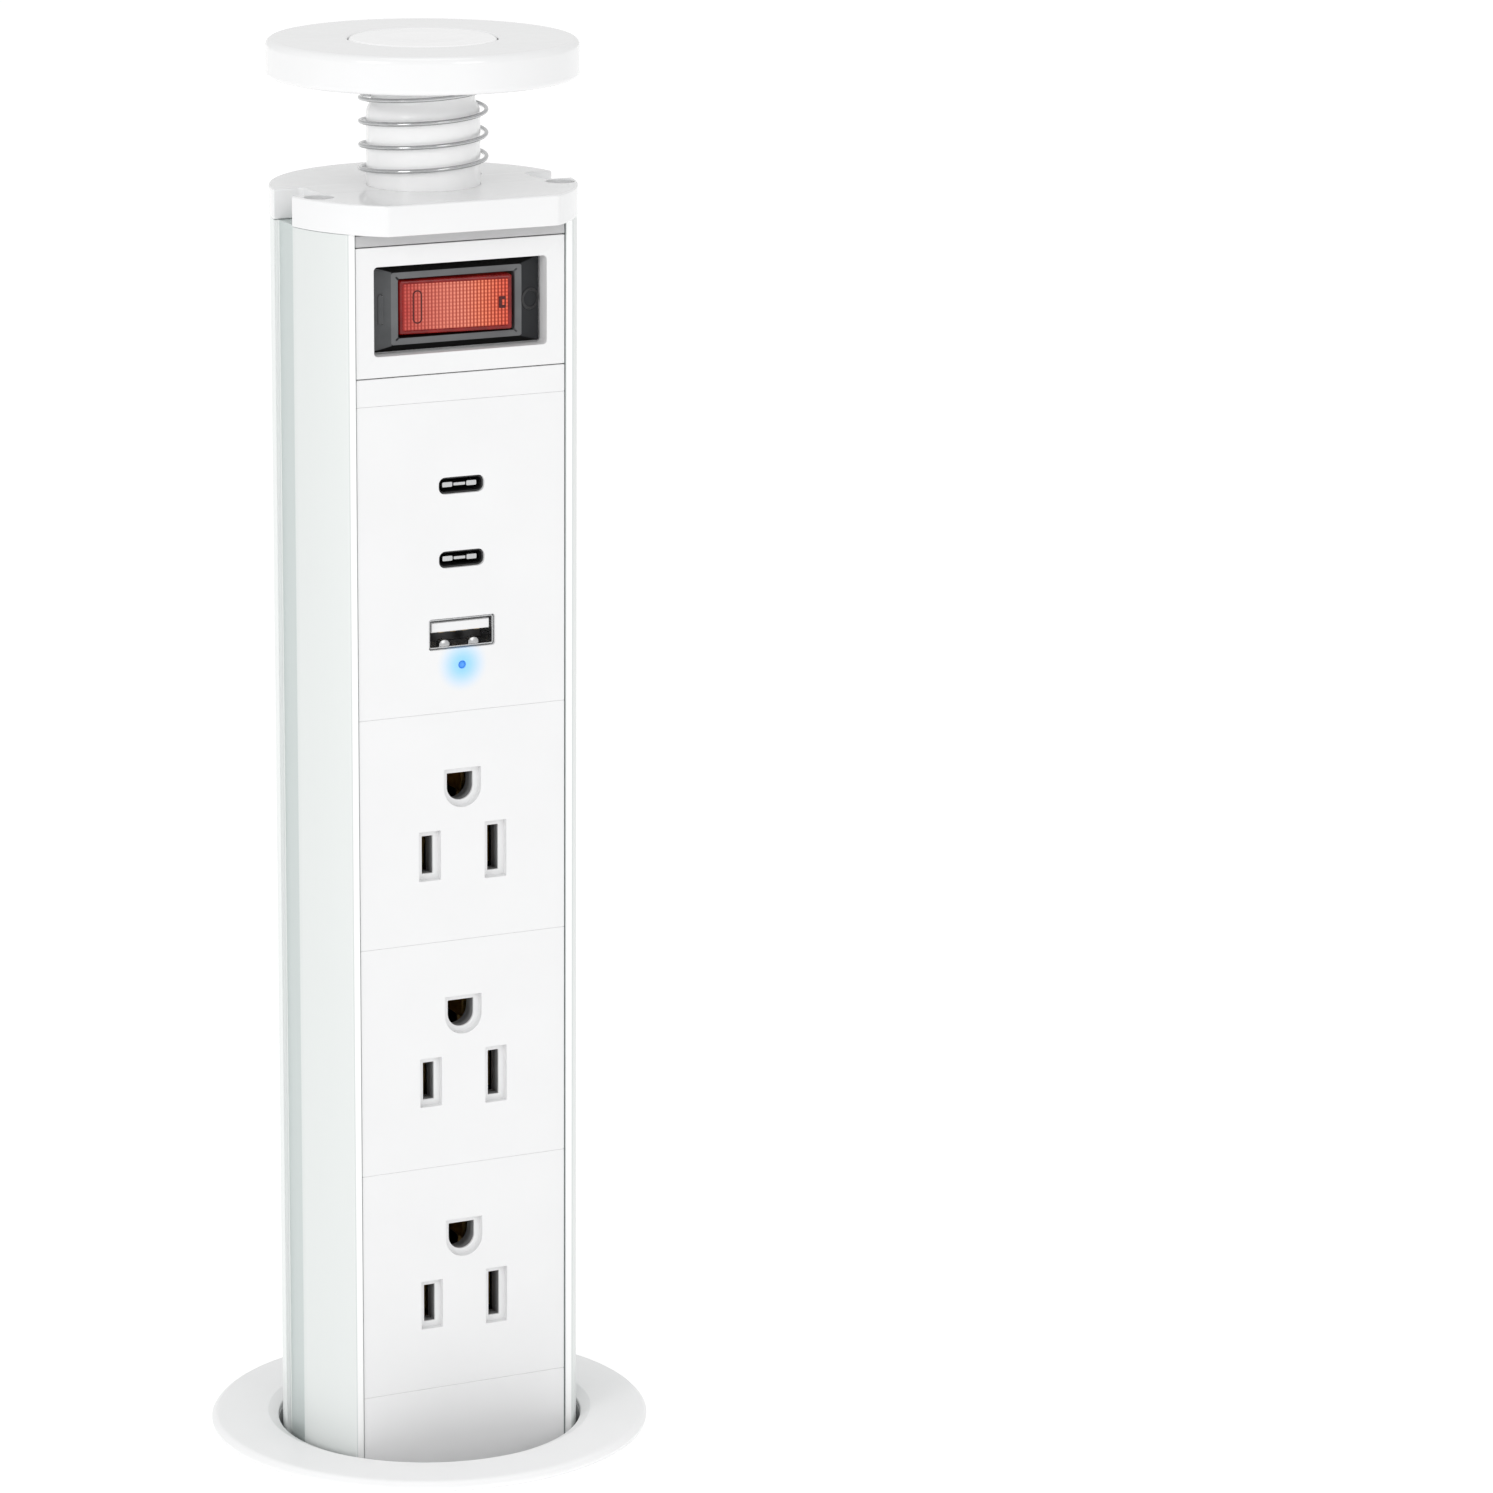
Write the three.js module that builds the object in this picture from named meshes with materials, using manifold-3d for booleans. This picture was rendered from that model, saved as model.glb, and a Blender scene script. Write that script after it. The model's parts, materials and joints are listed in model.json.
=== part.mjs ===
// Pop-up desk power tower for a 60 mm desk hole, raised.
// Millimetres, +Z up. The origin is on the tower's axis in the plane of the desk surface, and the socket
// panels face -Y.
import * as THREE from "three";
import { mergeVertices } from "three/addons/utils/BufferGeometryUtils.js";
import Module from "manifold-3d";

const wasm = await Module();
wasm.setup();

// ---------------------------------------------------------------- driving dimensions
const GAP = 0.3; // clearance between touching pieces

const TOWER = {
  radius: 27.2,
  wall: 1.6,
  face: 16.3, // distance of the flat front from the axis
  top: 222.7,
  bottom: -36.1,
  cornerRound: 0.9,
};
// The two guide grooves, on the left and right sides, and the thick wall behind them
const GROOVE = { halfWidth: 4.1, floor: 25.7, inside: 20.8, insideHalf: 5.7 };
const PORT = { x: 22.9, y: -7.4, radius: 2.7, hole: 1.35 }; // screw ports inside the extrusion

const PANEL = {
  halfWidth: 19.8,
  front: -16.0,
  back: -14.0,
  neckHalfWidth: 17.9,
  railHalfWidth: 19.6,
  railFront: -11.9,
  railBack: -10.4,
};
// Heights of the joints between the panels, from the top plate down
const JOINT = { filler: 220.5, switch: 197.5, usb: 192.6, outlets: 136.8 };
const OUTLET_PITCH = 41.8;
const OUTLET_COUNT = 3;

const PLATE = { radius: 27.4, flat: 21.8, bottom: 223.0, top: 228.4, notchFloor: 21.2, notchHalf: 4.1 };
const LID = { radius: 27.4, bottom: 247.4, top: 254.0, hole: 10.35, dish: 13.45 };
const KNOB = {
  sleeve: 10.0,
  sleeveTop: 240.6,
  waist: 9.05,
  waistBottom: 244.0,
  waistTop: 247.4,
  rim: 13.0,
  rimBottom: 252.4,
  rimRound: 0.7,
  stub: 6.2, // the threaded end that passes through the plate
  stubBottom: 217.4,
  bore: 4.2,
  boreTop: 250.0,
  boreTip: 251.6,
};
const SPRING = { radius: 11.05, wire: 0.38, bottom: 229.3, top: 246.5, turns: 4.17 };

const FLANGE = { radius: 40.0, hole: 27.7, top: 1.8, edge: 0.9 };
const GASKET = { inner: 31.9, outer: 37.3, height: 0.65 };
const SLEEVE = { outer: 29.2, bottom: -44.0 };
const DESK = 25.0; // thickness of the desk top that the clamp is set to
const CLAMP = { inner: 29.6, washerRadius: 37.0, washer: 2.0, nutRadius: 36.0, nut: 10.0, grips: 16 };
// The shoes stay below the lid when it is pressed in with the tower fully down
const SHOE = { inner: 26.05, outer: 27.2, halfWidth: 3.7, top: -17.5, bottom: -35.8 };
const CAP = { top: -36.4, bottom: -42.4, hole: 6.6 };

const SWITCH = {
  height: 209.1, // of its centre
  recess: [32.8, 15.7],
  recessDepth: 3.6,
  cutout: [28.0, 13.0],
  bezel: [32.2, 15.1],
  body: [27.4, 12.4],
  window: [22.0, 10.2],
  flat: [24.6, 12.6], // outer size of the flat frame round the window
  bezelFront: -14.1,
  bodyBack: 3.0,
  rocker: [20.8, 9.6],
  rockerFace: -14.45, // of the level rocker
  pivotY: -11.0,
  tilt: 5, // degrees either side of level
};
const USB_C = { heights: [177.5, 164.3], shell: [8.6, 2.9], wall: 0.3, tongue: [6.4, 0.6] };
const USB_A = { height: 151.0, shell: [12.5, 5.4], wall: 0.35, tongue: [11.0, 1.8], tongueRise: 1.1 };
const PORT_FRONT = -15.5;
const LED = { height: 145.2, radius: 1.0 };
const BOARD = { halfWidth: 16.5, front: -7.6, back: -6.0, bottom: 139.0, top: 190.0 };

const OUTLET = {
  groundDrop: 13.95, // from the panel's top joint to the ground hole
  slotDrop: 25.85,
  bladeHalfSpacing: 6.35,
  slotWidth: 2.1,
  liveHeight: 6.9,
  neutralHeight: 8.3,
  groundRadius: 2.5,
  border: 1.0,
  recessDepth: 1.4,
};
const HOUSING = { halfWidth: 18.0, back: 2.0, wall: 1.4 };
const BUS = { thickness: 0.6, leaf: 0.5, leafFront: -9.6, top: 132.0, bottom: 8.0 };
const GLAND = { bore: 3.7, thread: 6.3, flange: 9.2, mouth: -55.5 };

const ARC = 14; // divisions of a curve in a shape
const CURVE = 3; // divisions of a curve in a turned profile
const ROUND = 48; // sides of a large turned piece
const SMALL = 16; // sides of a small turned piece

// ---------------------------------------------------------------- materials
const finish = (color, roughness, metalness = 0, more = {}) =>
  new THREE.MeshStandardMaterial({ color, roughness, metalness, ...more });

const MATERIAL = {
  gloss: () => finish(0xf4f5f6, 0.2),
  satin: () => finish(0xf0f1f2, 0.45),
  aluminium: () => finish(0xe6eae9, 0.35, 0.3),
  black: () => finish(0x17181a, 0.35),
  red: () => finish(0xe2452f, 0.25, 0, { transparent: true, opacity: 0.8 }),
  amber: () => finish(0xffa040, 0.3),
  steel: () => finish(0xc9ccd0, 0.25, 1),
  brass: () => finish(0xc9a04f, 0.3, 1),
  board: () => finish(0x1f5c38, 0.5),
  blue: () => finish(0x69b8ff, 0.3),
  rubber: () => finish(0x26282a, 0.8),
  grey: () => finish(0xb9bdc0, 0.5),
};

// ---------------------------------------------------------------- solids
const WELD = 1e-4;

// A closed solid, ready to be added to others or cut
function solid(geometry) {
  const bare = geometry.index ? geometry.toNonIndexed() : geometry.clone();
  bare.deleteAttribute("normal");
  bare.deleteAttribute("uv");
  const merged = mergeVertices(bare, WELD);
  return new wasm.Manifold(
    new wasm.Mesh({
      numProp: 3,
      vertProperties: merged.attributes.position.array,
      triVerts: new Uint32Array(merged.index.array),
    }),
  );
}

// The surface of a closed solid, with flat-shaded faces
function geometryOf(body) {
  const mesh = body.getMesh();
  const indexed = new THREE.BufferGeometry();
  indexed.setAttribute("position", new THREE.BufferAttribute(mesh.vertProperties, 3));
  indexed.setIndex(new THREE.BufferAttribute(mesh.triVerts, 1));
  const flat = indexed.toNonIndexed();
  flat.computeVertexNormals();
  return flat;
}

const join = (...parts) => geometryOf(parts.map(solid).reduce((sum, part) => sum.add(part)));

function cut(base, ...tools) {
  const rest = tools.map(solid).reduce((left, tool) => left.subtract(tool), solid(base));
  return geometryOf(rest);
}

// A box between two corners
function block(x0, x1, y0, y1, z0, z1) {
  const box = new THREE.BoxGeometry(x1 - x0, y1 - y0, z1 - z0);
  return box.translate((x0 + x1) / 2, (y0 + y1) / 2, (z0 + z1) / 2);
}

// A shape drawn in XY and raised from z0 to z1
function prism(shape, z0, z1, curveSegments = ARC) {
  const options = { depth: z1 - z0, bevelEnabled: false, curveSegments };
  return new THREE.ExtrudeGeometry(shape, options).translate(0, 0, z0);
}

// A shape drawn in XZ and run from the front y0 back to y1
function prismBack(shape, y0, y1, z = 0, x = 0, curveSegments = ARC) {
  const options = { depth: y1 - y0, bevelEnabled: false, curveSegments };
  return new THREE.ExtrudeGeometry(shape, options).rotateX(Math.PI / 2).translate(x, y1, z);
}

// A round bar along Z
function rod(radius, z0, z1, x = 0, y = 0, sides = SMALL) {
  const bar = new THREE.CylinderGeometry(radius, radius, z1 - z0, sides).rotateX(Math.PI / 2);
  return bar.translate(x, y, (z0 + z1) / 2);
}

// A round bar along Y
function rodBack(radius, y0, y1, x, z, sides = SMALL) {
  return new THREE.CylinderGeometry(radius, radius, y1 - y0, sides).translate(x, (y0 + y1) / 2, z);
}

// A profile of [radius, height] points turned about Z. It runs anticlockwise, and it closes on itself unless
// it starts and ends on the axis.
function turned(profile, sides = ROUND) {
  const points = profile.map(([r, z]) => new THREE.Vector2(r, z));
  if (profile[0][0] > 0) points.push(points[0].clone());
  return new THREE.LatheGeometry(points, sides).rotateX(Math.PI / 2);
}

const ring = (inner, outer, z0, z1, sides = ROUND) =>
  turned([[inner, z0], [outer, z0], [outer, z1], [inner, z1]], sides);

// A rectangle or pill centred on the shape's origin
function rectangle(width, height, round = 0) {
  const x = width / 2;
  const y = height / 2;
  const shape = new THREE.Shape();
  if (round === 0) {
    shape.moveTo(-x, -y).lineTo(x, -y).lineTo(x, y).lineTo(-x, y);
    return shape;
  }
  shape.absarc(x - round, y - round, round, 0, Math.PI / 2, false);
  shape.absarc(-x + round, y - round, round, Math.PI / 2, Math.PI, false);
  shape.absarc(-x + round, -y + round, round, Math.PI, 1.5 * Math.PI, false);
  shape.absarc(x - round, -y + round, round, 1.5 * Math.PI, 2 * Math.PI, false);
  return shape;
}

// ---------------------------------------------------------------- the tree
const power_tower = new THREE.Group();

function group() {
  const child = new THREE.Group();
  power_tower.add(child);
  return child;
}

function add(parent, name, geometry, material) {
  const mesh = new THREE.Mesh(geometry, material);
  mesh.name = name;
  parent.add(mesh);
  return mesh;
}

// ---------------------------------------------------------------- collar that stays in the desk
const collar = group();

function flangeRing() {
  const bevel = 2.0;
  const lip = FLANGE.radius - 0.4;
  return turned([
    [FLANGE.hole, 0],
    [GASKET.inner - GAP, 0],
    [GASKET.inner - GAP, GASKET.height + GAP],
    [GASKET.outer + GAP, GASKET.height + GAP],
    [GASKET.outer + GAP, 0],
    [lip, 0],
    [FLANGE.radius, FLANGE.edge],
    [lip, FLANGE.top - GAP],
    [FLANGE.radius - 1.5, FLANGE.top],
    [FLANGE.hole + bevel, FLANGE.top],
    [FLANGE.hole, FLANGE.top / 2],
  ]);
}

function guideShoe(side) {
  const chamfer = 0.4;
  const inner = side * SHOE.inner;
  const outer = side * SHOE.outer;
  const step = side * chamfer;
  const half = SHOE.halfWidth;
  const shape = new THREE.Shape();
  shape.moveTo(inner, -half + chamfer).lineTo(inner + step, -half).lineTo(outer, -half);
  shape.lineTo(outer, half).lineTo(inner + step, half).lineTo(inner, half - chamfer);
  return prism(shape, SHOE.bottom, SHOE.top);
}

add(collar, "desk_flange", flangeRing(), MATERIAL.satin());
add(collar, "threaded_sleeve", ring(FLANGE.hole, SLEEVE.outer, SLEEVE.bottom, -GAP), MATERIAL.satin());
add(collar, "desk_gasket", ring(GASKET.inner, GASKET.outer, 0, GASKET.height), MATERIAL.rubber());
add(collar, "guide_shoe_left", guideShoe(-1), MATERIAL.grey());
add(collar, "guide_shoe_right", guideShoe(1), MATERIAL.grey());

// ---------------------------------------------------------------- clamp under the desk
const clamp = group();
const WASHER_TOP = -DESK - GAP;
const NUT_TOP = WASHER_TOP - CLAMP.washer - GAP;

// A ring nut with rounded finger grips round its rim
function clampNut() {
  const gripDepth = 0.8;
  const steps = CLAMP.grips * 6;
  const rim = [];
  for (let i = 0; i < steps; i += 1) {
    const angle = (2 * Math.PI * i) / steps;
    const radius = CLAMP.nutRadius + gripDepth * Math.cos(CLAMP.grips * angle);
    rim.push(new THREE.Vector2(radius * Math.cos(angle), radius * Math.sin(angle)));
  }
  const shape = new THREE.Shape(rim);
  shape.holes.push(new THREE.Path().absarc(0, 0, CLAMP.inner, 0, 2 * Math.PI, true));
  return prism(shape, NUT_TOP - CLAMP.nut, NUT_TOP, ROUND);
}

const washer = ring(CLAMP.inner, CLAMP.washerRadius, WASHER_TOP - CLAMP.washer, WASHER_TOP);
add(clamp, "clamp_washer", washer, MATERIAL.grey());
add(clamp, "clamp_nut", clampNut(), MATERIAL.satin());

// ---------------------------------------------------------------- tower body
const tower = group();

// The extrusion's section: a round tube with a flat open front, guide grooves and panel rails
function extrusionSection() {
  const { radius: r, face, wall, cornerRound } = TOWER;
  const inner = r - wall;
  const floorInside = GROOVE.inside;
  const grooveSide = GROOVE.insideHalf;
  const grooveAngle = Math.asin(GROOVE.halfWidth / r);
  const grooveAngleInside = Math.asin(grooveSide / inner);
  const slotEdge = PANEL.halfWidth + GAP;
  const ledge = PANEL.neckHalfWidth + GAP;
  const ledgeFront = PANEL.back + GAP;
  const ledgeBack = PANEL.railFront - GAP;
  const railAngle = Math.asin(ledgeBack / inner);
  const railX = inner * Math.cos(railAngle);
  const cornerX = Math.sqrt(r * r - face * face);
  const cornerAngle = -Math.asin((face - cornerRound) / r);
  const shape = new THREE.Shape();
  shape.moveTo(slotEdge, -face);
  shape.lineTo(cornerX - cornerRound, -face);
  shape.quadraticCurveTo(cornerX, -face, r * Math.cos(cornerAngle), r * Math.sin(cornerAngle));
  shape.absarc(0, 0, r, cornerAngle, -grooveAngle, false);
  shape.lineTo(GROOVE.floor, -GROOVE.halfWidth);
  shape.lineTo(GROOVE.floor, GROOVE.halfWidth);
  shape.absarc(0, 0, r, grooveAngle, Math.PI - grooveAngle, false);
  shape.lineTo(-GROOVE.floor, GROOVE.halfWidth);
  shape.lineTo(-GROOVE.floor, -GROOVE.halfWidth);
  shape.absarc(0, 0, r, Math.PI + grooveAngle, Math.PI - cornerAngle, false);
  shape.quadraticCurveTo(-cornerX, -face, -cornerX + cornerRound, -face);
  shape.lineTo(-slotEdge, -face);
  shape.lineTo(-slotEdge, ledgeFront);
  shape.lineTo(-ledge, ledgeFront);
  shape.lineTo(-ledge, ledgeBack);
  shape.lineTo(-railX, ledgeBack);
  shape.absarc(0, 0, inner, Math.PI - railAngle, Math.PI + grooveAngleInside, true);
  shape.lineTo(-floorInside, -grooveSide);
  shape.lineTo(-floorInside, grooveSide);
  shape.absarc(0, 0, inner, Math.PI - grooveAngleInside, grooveAngleInside, true);
  shape.lineTo(floorInside, grooveSide);
  shape.lineTo(floorInside, -grooveSide);
  shape.absarc(0, 0, inner, -grooveAngleInside, railAngle, true);
  shape.lineTo(ledge, ledgeBack);
  shape.lineTo(ledge, ledgeFront);
  shape.lineTo(slotEdge, ledgeFront);
  return shape;
}

function extrusion() {
  const tube = prism(extrusionSection(), TOWER.bottom, TOWER.top);
  const sides = [-1, 1];
  const ports = sides.map((side) => rod(PORT.radius, TOWER.bottom, TOWER.top, side * PORT.x, PORT.y));
  const holes = sides.map((side) => rod(PORT.hole, TOWER.bottom - 1, TOWER.top + 1, side * PORT.x, PORT.y));
  return cut(join(tube, ...ports), ...holes);
}

// A countersunk cross-head screw. direction is 1 when its head looks up.
const HEAD = { radius: 2.2, height: 1.6, pocket: 2.6, clearance: 1.7, shank: 1.0, length: 13 };

function screw(side, headFace, direction) {
  const x = side * PORT.x;
  const under = headFace - direction * HEAD.height;
  const tip = under - direction * HEAD.length;
  const span = (a, b) => [Math.min(a, b), Math.max(a, b)];
  const head = rod(HEAD.radius, ...span(under, headFace), x, PORT.y);
  const shank = rod(HEAD.shank, ...span(tip, under + direction * 0.2), x, PORT.y, 12);
  const [low, high] = span(headFace - direction * 0.8, headFace + direction);
  const slotHalf = 0.25;
  const slotReach = 1.4;
  const slotX = block(x - slotReach, x + slotReach, PORT.y - slotHalf, PORT.y + slotHalf, low, high);
  const slotY = block(x - slotHalf, x + slotHalf, PORT.y - slotReach, PORT.y + slotReach, low, high);
  return cut(join(head, shank), slotX, slotY);
}

// The holes that a plate or cap needs for its screws, with the head pocket on the given side
function screwHoles(low, high, direction) {
  const tools = [];
  for (const side of [-1, 1]) {
    const x = side * PORT.x;
    tools.push(rod(HEAD.clearance, low - 1, high + 1, x, PORT.y));
    const pocket = direction > 0 ? [high - HEAD.height - 1, high + 1] : [low - 1, low + HEAD.height + 1];
    tools.push(rod(HEAD.pocket, ...pocket, x, PORT.y));
  }
  return tools;
}

// The knob's sleeve stands in a pocket of the plate
const POCKET_FLOOR = PLATE.top - 2.4;

function topPlate() {
  const { radius: r, flat, notchFloor, notchHalf } = PLATE;
  const flatAngle = Math.asin(flat / r);
  const notchAngle = Math.asin(notchHalf / r);
  const shape = new THREE.Shape();
  shape.absarc(0, 0, r, -flatAngle, -notchAngle, false);
  shape.lineTo(notchFloor, -notchHalf);
  shape.lineTo(notchFloor, notchHalf);
  shape.absarc(0, 0, r, notchAngle, Math.PI - notchAngle, false);
  shape.lineTo(-notchFloor, notchHalf);
  shape.lineTo(-notchFloor, -notchHalf);
  shape.absarc(0, 0, r, Math.PI + notchAngle, Math.PI + flatAngle, false);
  const slab = prism(shape, PLATE.bottom, PLATE.top);
  const pocket = rod(KNOB.sleeve + GAP, POCKET_FLOOR, PLATE.top + 1, 0, 0, ROUND);
  const hole = rod(KNOB.stub + GAP, PLATE.bottom - 1, PLATE.top, 0, 0, ROUND);
  return cut(slab, pocket, hole, ...screwHoles(PLATE.bottom, PLATE.top, 1));
}

// The fixed pull knob: a spool with a flared rim on a straight sleeve, hollow from below
function pullKnob() {
  const foot = POCKET_FLOOR + GAP;
  const path = new THREE.Path();
  const necking = (KNOB.sleeveTop + KNOB.waistBottom) / 2;
  path.moveTo(0, KNOB.boreTip);
  path.lineTo(KNOB.bore, KNOB.boreTop);
  path.lineTo(KNOB.bore, KNOB.stubBottom);
  path.lineTo(KNOB.stub, KNOB.stubBottom);
  path.lineTo(KNOB.stub, foot);
  path.lineTo(KNOB.sleeve, foot);
  path.lineTo(KNOB.sleeve, KNOB.sleeveTop);
  path.bezierCurveTo(KNOB.sleeve, necking, KNOB.waist, necking, KNOB.waist, KNOB.waistBottom);
  path.lineTo(KNOB.waist, KNOB.waistTop);
  path.bezierCurveTo(KNOB.waist, 250.4, 10.4, 252.2, KNOB.rim, KNOB.rimBottom);
  path.lineTo(KNOB.rim, LID.top - KNOB.rimRound);
  path.quadraticCurveTo(KNOB.rim, LID.top, KNOB.rim - KNOB.rimRound, LID.top);
  path.lineTo(0, LID.top);
  return turned(path.getPoints(CURVE).map((p) => [p.x, p.y]));
}

// A hexagonal nut on the axis
function hexNut(inner, outer, z0, z1) {
  const shape = new THREE.Shape();
  for (let i = 0; i < 6; i += 1) {
    const angle = (i * Math.PI) / 3;
    const corner = [outer * Math.cos(angle), outer * Math.sin(angle)];
    if (i === 0) shape.moveTo(...corner);
    else shape.lineTo(...corner);
  }
  shape.holes.push(new THREE.Path().absarc(0, 0, inner, 0, 2 * Math.PI, true));
  return prism(shape, z0, z1);
}

// A coil spring that starts at the sleeve's right side
class Helix extends THREE.Curve {
  getPoint(t) {
    const angle = t * SPRING.turns * 2 * Math.PI;
    const z = SPRING.bottom + t * (SPRING.top - SPRING.bottom);
    return new THREE.Vector3(SPRING.radius * Math.cos(angle), SPRING.radius * Math.sin(angle), z);
  }
}

function along(curve, radius, steps, sides = 8) {
  const section = new THREE.Shape();
  for (let i = 0; i < sides; i += 1) {
    const angle = (2 * Math.PI * i) / sides;
    const corner = [radius * Math.cos(angle), radius * Math.sin(angle)];
    if (i === 0) section.moveTo(...corner);
    else section.lineTo(...corner);
  }
  return new THREE.ExtrudeGeometry(section, { steps, bevelEnabled: false, extrudePath: curve });
}

add(tower, "tower_extrusion", extrusion(), MATERIAL.aluminium());
add(tower, "top_plate", topPlate(), MATERIAL.gloss());
const plateHeadFace = PLATE.top - 1 + GAP;
add(tower, "top_plate_screw_left", screw(-1, plateHeadFace, 1), MATERIAL.steel());
add(tower, "top_plate_screw_right", screw(1, plateHeadFace, 1), MATERIAL.steel());
add(tower, "pull_knob", pullKnob(), MATERIAL.gloss());
const knobNutBottom = PLATE.bottom - 4.8;
add(tower, "knob_nut", hexNut(KNOB.stub + GAP, 9.4, knobNutBottom, PLATE.bottom - GAP), MATERIAL.steel());
add(tower, "lid_spring", along(new Helix(), SPRING.wire, 60, 6), MATERIAL.steel());

// ---------------------------------------------------------------- sliding lid
const lid = group();

function lidDisc() {
  const { radius: r, bottom, top, hole, dish } = LID;
  const topRound = 1.2;
  const bottomRound = 0.8;
  const path = new THREE.Path();
  path.moveTo(hole, bottom);
  path.lineTo(r - bottomRound, bottom);
  path.quadraticCurveTo(r, bottom, r, bottom + bottomRound);
  path.lineTo(r, top - topRound);
  path.quadraticCurveTo(r, top, r - topRound, top);
  path.lineTo(dish + 0.3, top);
  path.lineTo(dish, top - 0.3);
  path.lineTo(dish, top - 2.0);
  path.bezierCurveTo(dish - 1.4, top - 2.1, hole + 0.1, top - 2.9, hole, top - 4.6);
  return turned(path.getPoints(CURVE).map((p) => [p.x, p.y]));
}

add(lid, "lid_disc", lidDisc(), MATERIAL.gloss());

// ---------------------------------------------------------------- panels
// Every panel is cut from the same rail profile, which slides into the extrusion from its end.
function panelSection() {
  const { halfWidth, front, back, neckHalfWidth, railHalfWidth, railFront, railBack } = PANEL;
  const right = [
    [halfWidth, front],
    [halfWidth, back],
    [neckHalfWidth, back],
    [neckHalfWidth, railFront],
    [railHalfWidth, railFront],
    [railHalfWidth, railBack],
  ];
  const left = right.map(([x, y]) => [-x, y]).reverse();
  return new THREE.Shape([...right, ...left].map(([x, y]) => new THREE.Vector2(x, y)));
}

const panel = (bottom, top) => prism(panelSection(), bottom + GAP / 2, top - GAP / 2);
const THROUGH = [PANEL.front - 1, PANEL.railBack + 1];

function switchPanel() {
  const recess = rectangle(...SWITCH.recess, 0.6);
  const cutout = rectangle(...SWITCH.cutout);
  const floor = PANEL.front + SWITCH.recessDepth;
  return cut(
    panel(JOINT.switch, JOINT.filler),
    prismBack(recess, THROUGH[0], floor, SWITCH.height, 0, 4),
    prismBack(cutout, ...THROUGH, SWITCH.height),
  );
}

const grow = ([width, height], by) => [width + by, height + by];
const usbCHole = grow(USB_C.shell, 2 * GAP);
const usbAHole = grow(USB_A.shell, 2 * GAP);

function usbPanel() {
  const pill = rectangle(...usbCHole, usbCHole[1] / 2 - 0.01);
  const tools = USB_C.heights.map((z) => prismBack(pill, ...THROUGH, z, 0, 6));
  tools.push(prismBack(rectangle(...usbAHole, 0.6), ...THROUGH, USB_A.height, 0, 4));
  tools.push(rodBack(LED.radius + GAP, ...THROUGH, 0, LED.height));
  return cut(panel(JOINT.outlets, JOINT.usb), ...tools);
}

// The ground hole: a flat top and a round bottom
function groundShape(radius) {
  const shape = new THREE.Shape();
  shape.absarc(0, 0, radius, Math.PI, 2 * Math.PI, false);
  shape.lineTo(radius, radius);
  shape.lineTo(-radius, radius);
  return shape;
}

function outletPanel(top) {
  const { slotWidth, border, bladeHalfSpacing, groundRadius } = OUTLET;
  const floor = PANEL.front + OUTLET.recessDepth;
  const slotZ = top - OUTLET.slotDrop;
  const groundZ = top - OUTLET.groundDrop;
  const slots = [
    [-bladeHalfSpacing, OUTLET.liveHeight],
    [bladeHalfSpacing, OUTLET.neutralHeight],
  ];
  const tools = [
    prismBack(groundShape(groundRadius), ...THROUGH, groundZ, 0, 8),
    prismBack(groundShape(groundRadius + border), THROUGH[0], floor, groundZ, 0, 8),
  ];
  for (const [x, height] of slots) {
    tools.push(prismBack(rectangle(slotWidth, height), ...THROUGH, slotZ, x));
    const recess = rectangle(slotWidth + 2 * border, height + 2 * border);
    tools.push(prismBack(recess, THROUGH[0], floor, slotZ, x));
  }
  return cut(panel(top - OUTLET_PITCH, top), ...tools);
}

const outletTop = (index) => JOINT.outlets - index * OUTLET_PITCH;
const BOTTOM_FILLER_TOP = outletTop(OUTLET_COUNT);

add(tower, "top_filler_panel", panel(JOINT.filler, TOWER.top), MATERIAL.satin());
add(tower, "switch_panel", switchPanel(), MATERIAL.satin());
add(tower, "spacer_panel", panel(JOINT.usb, JOINT.switch), MATERIAL.satin());
add(tower, "usb_panel", usbPanel(), MATERIAL.satin());
for (let i = 0; i < OUTLET_COUNT; i += 1) {
  add(tower, `outlet_panel_${i + 1}`, outletPanel(outletTop(i)), MATERIAL.satin());
}
add(tower, "bottom_filler_panel", panel(TOWER.bottom, BOTTOM_FILLER_TOP), MATERIAL.satin());

// ---------------------------------------------------------------- switch
const SWITCH_FLOOR = PANEL.front + SWITCH.recessDepth;

// The bezel slopes up from its rim to a flat frame. The body behind it is a box open to the front.
function switchHousing() {
  const back = SWITCH_FLOOR - GAP;
  const rimFront = back - 0.5;
  const [bezelWidth, bezelHeight] = SWITCH.bezel;
  const rim = prismBack(rectangle(bezelWidth, bezelHeight), rimFront, back, SWITCH.height);
  const slope = frustum(SWITCH.bezel, SWITCH.flat, rimFront + 0.05, SWITCH.bezelFront, SWITCH.height);
  const body = prismBack(rectangle(...SWITCH.body), back - 0.1, SWITCH.bodyBack, SWITCH.height);
  const backWall = 1.5;
  const cavity = prismBack(rectangle(...SWITCH.window), -17, SWITCH.bodyBack - backWall, SWITCH.height);
  return cut(join(rim, slope, body), cavity);
}

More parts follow.
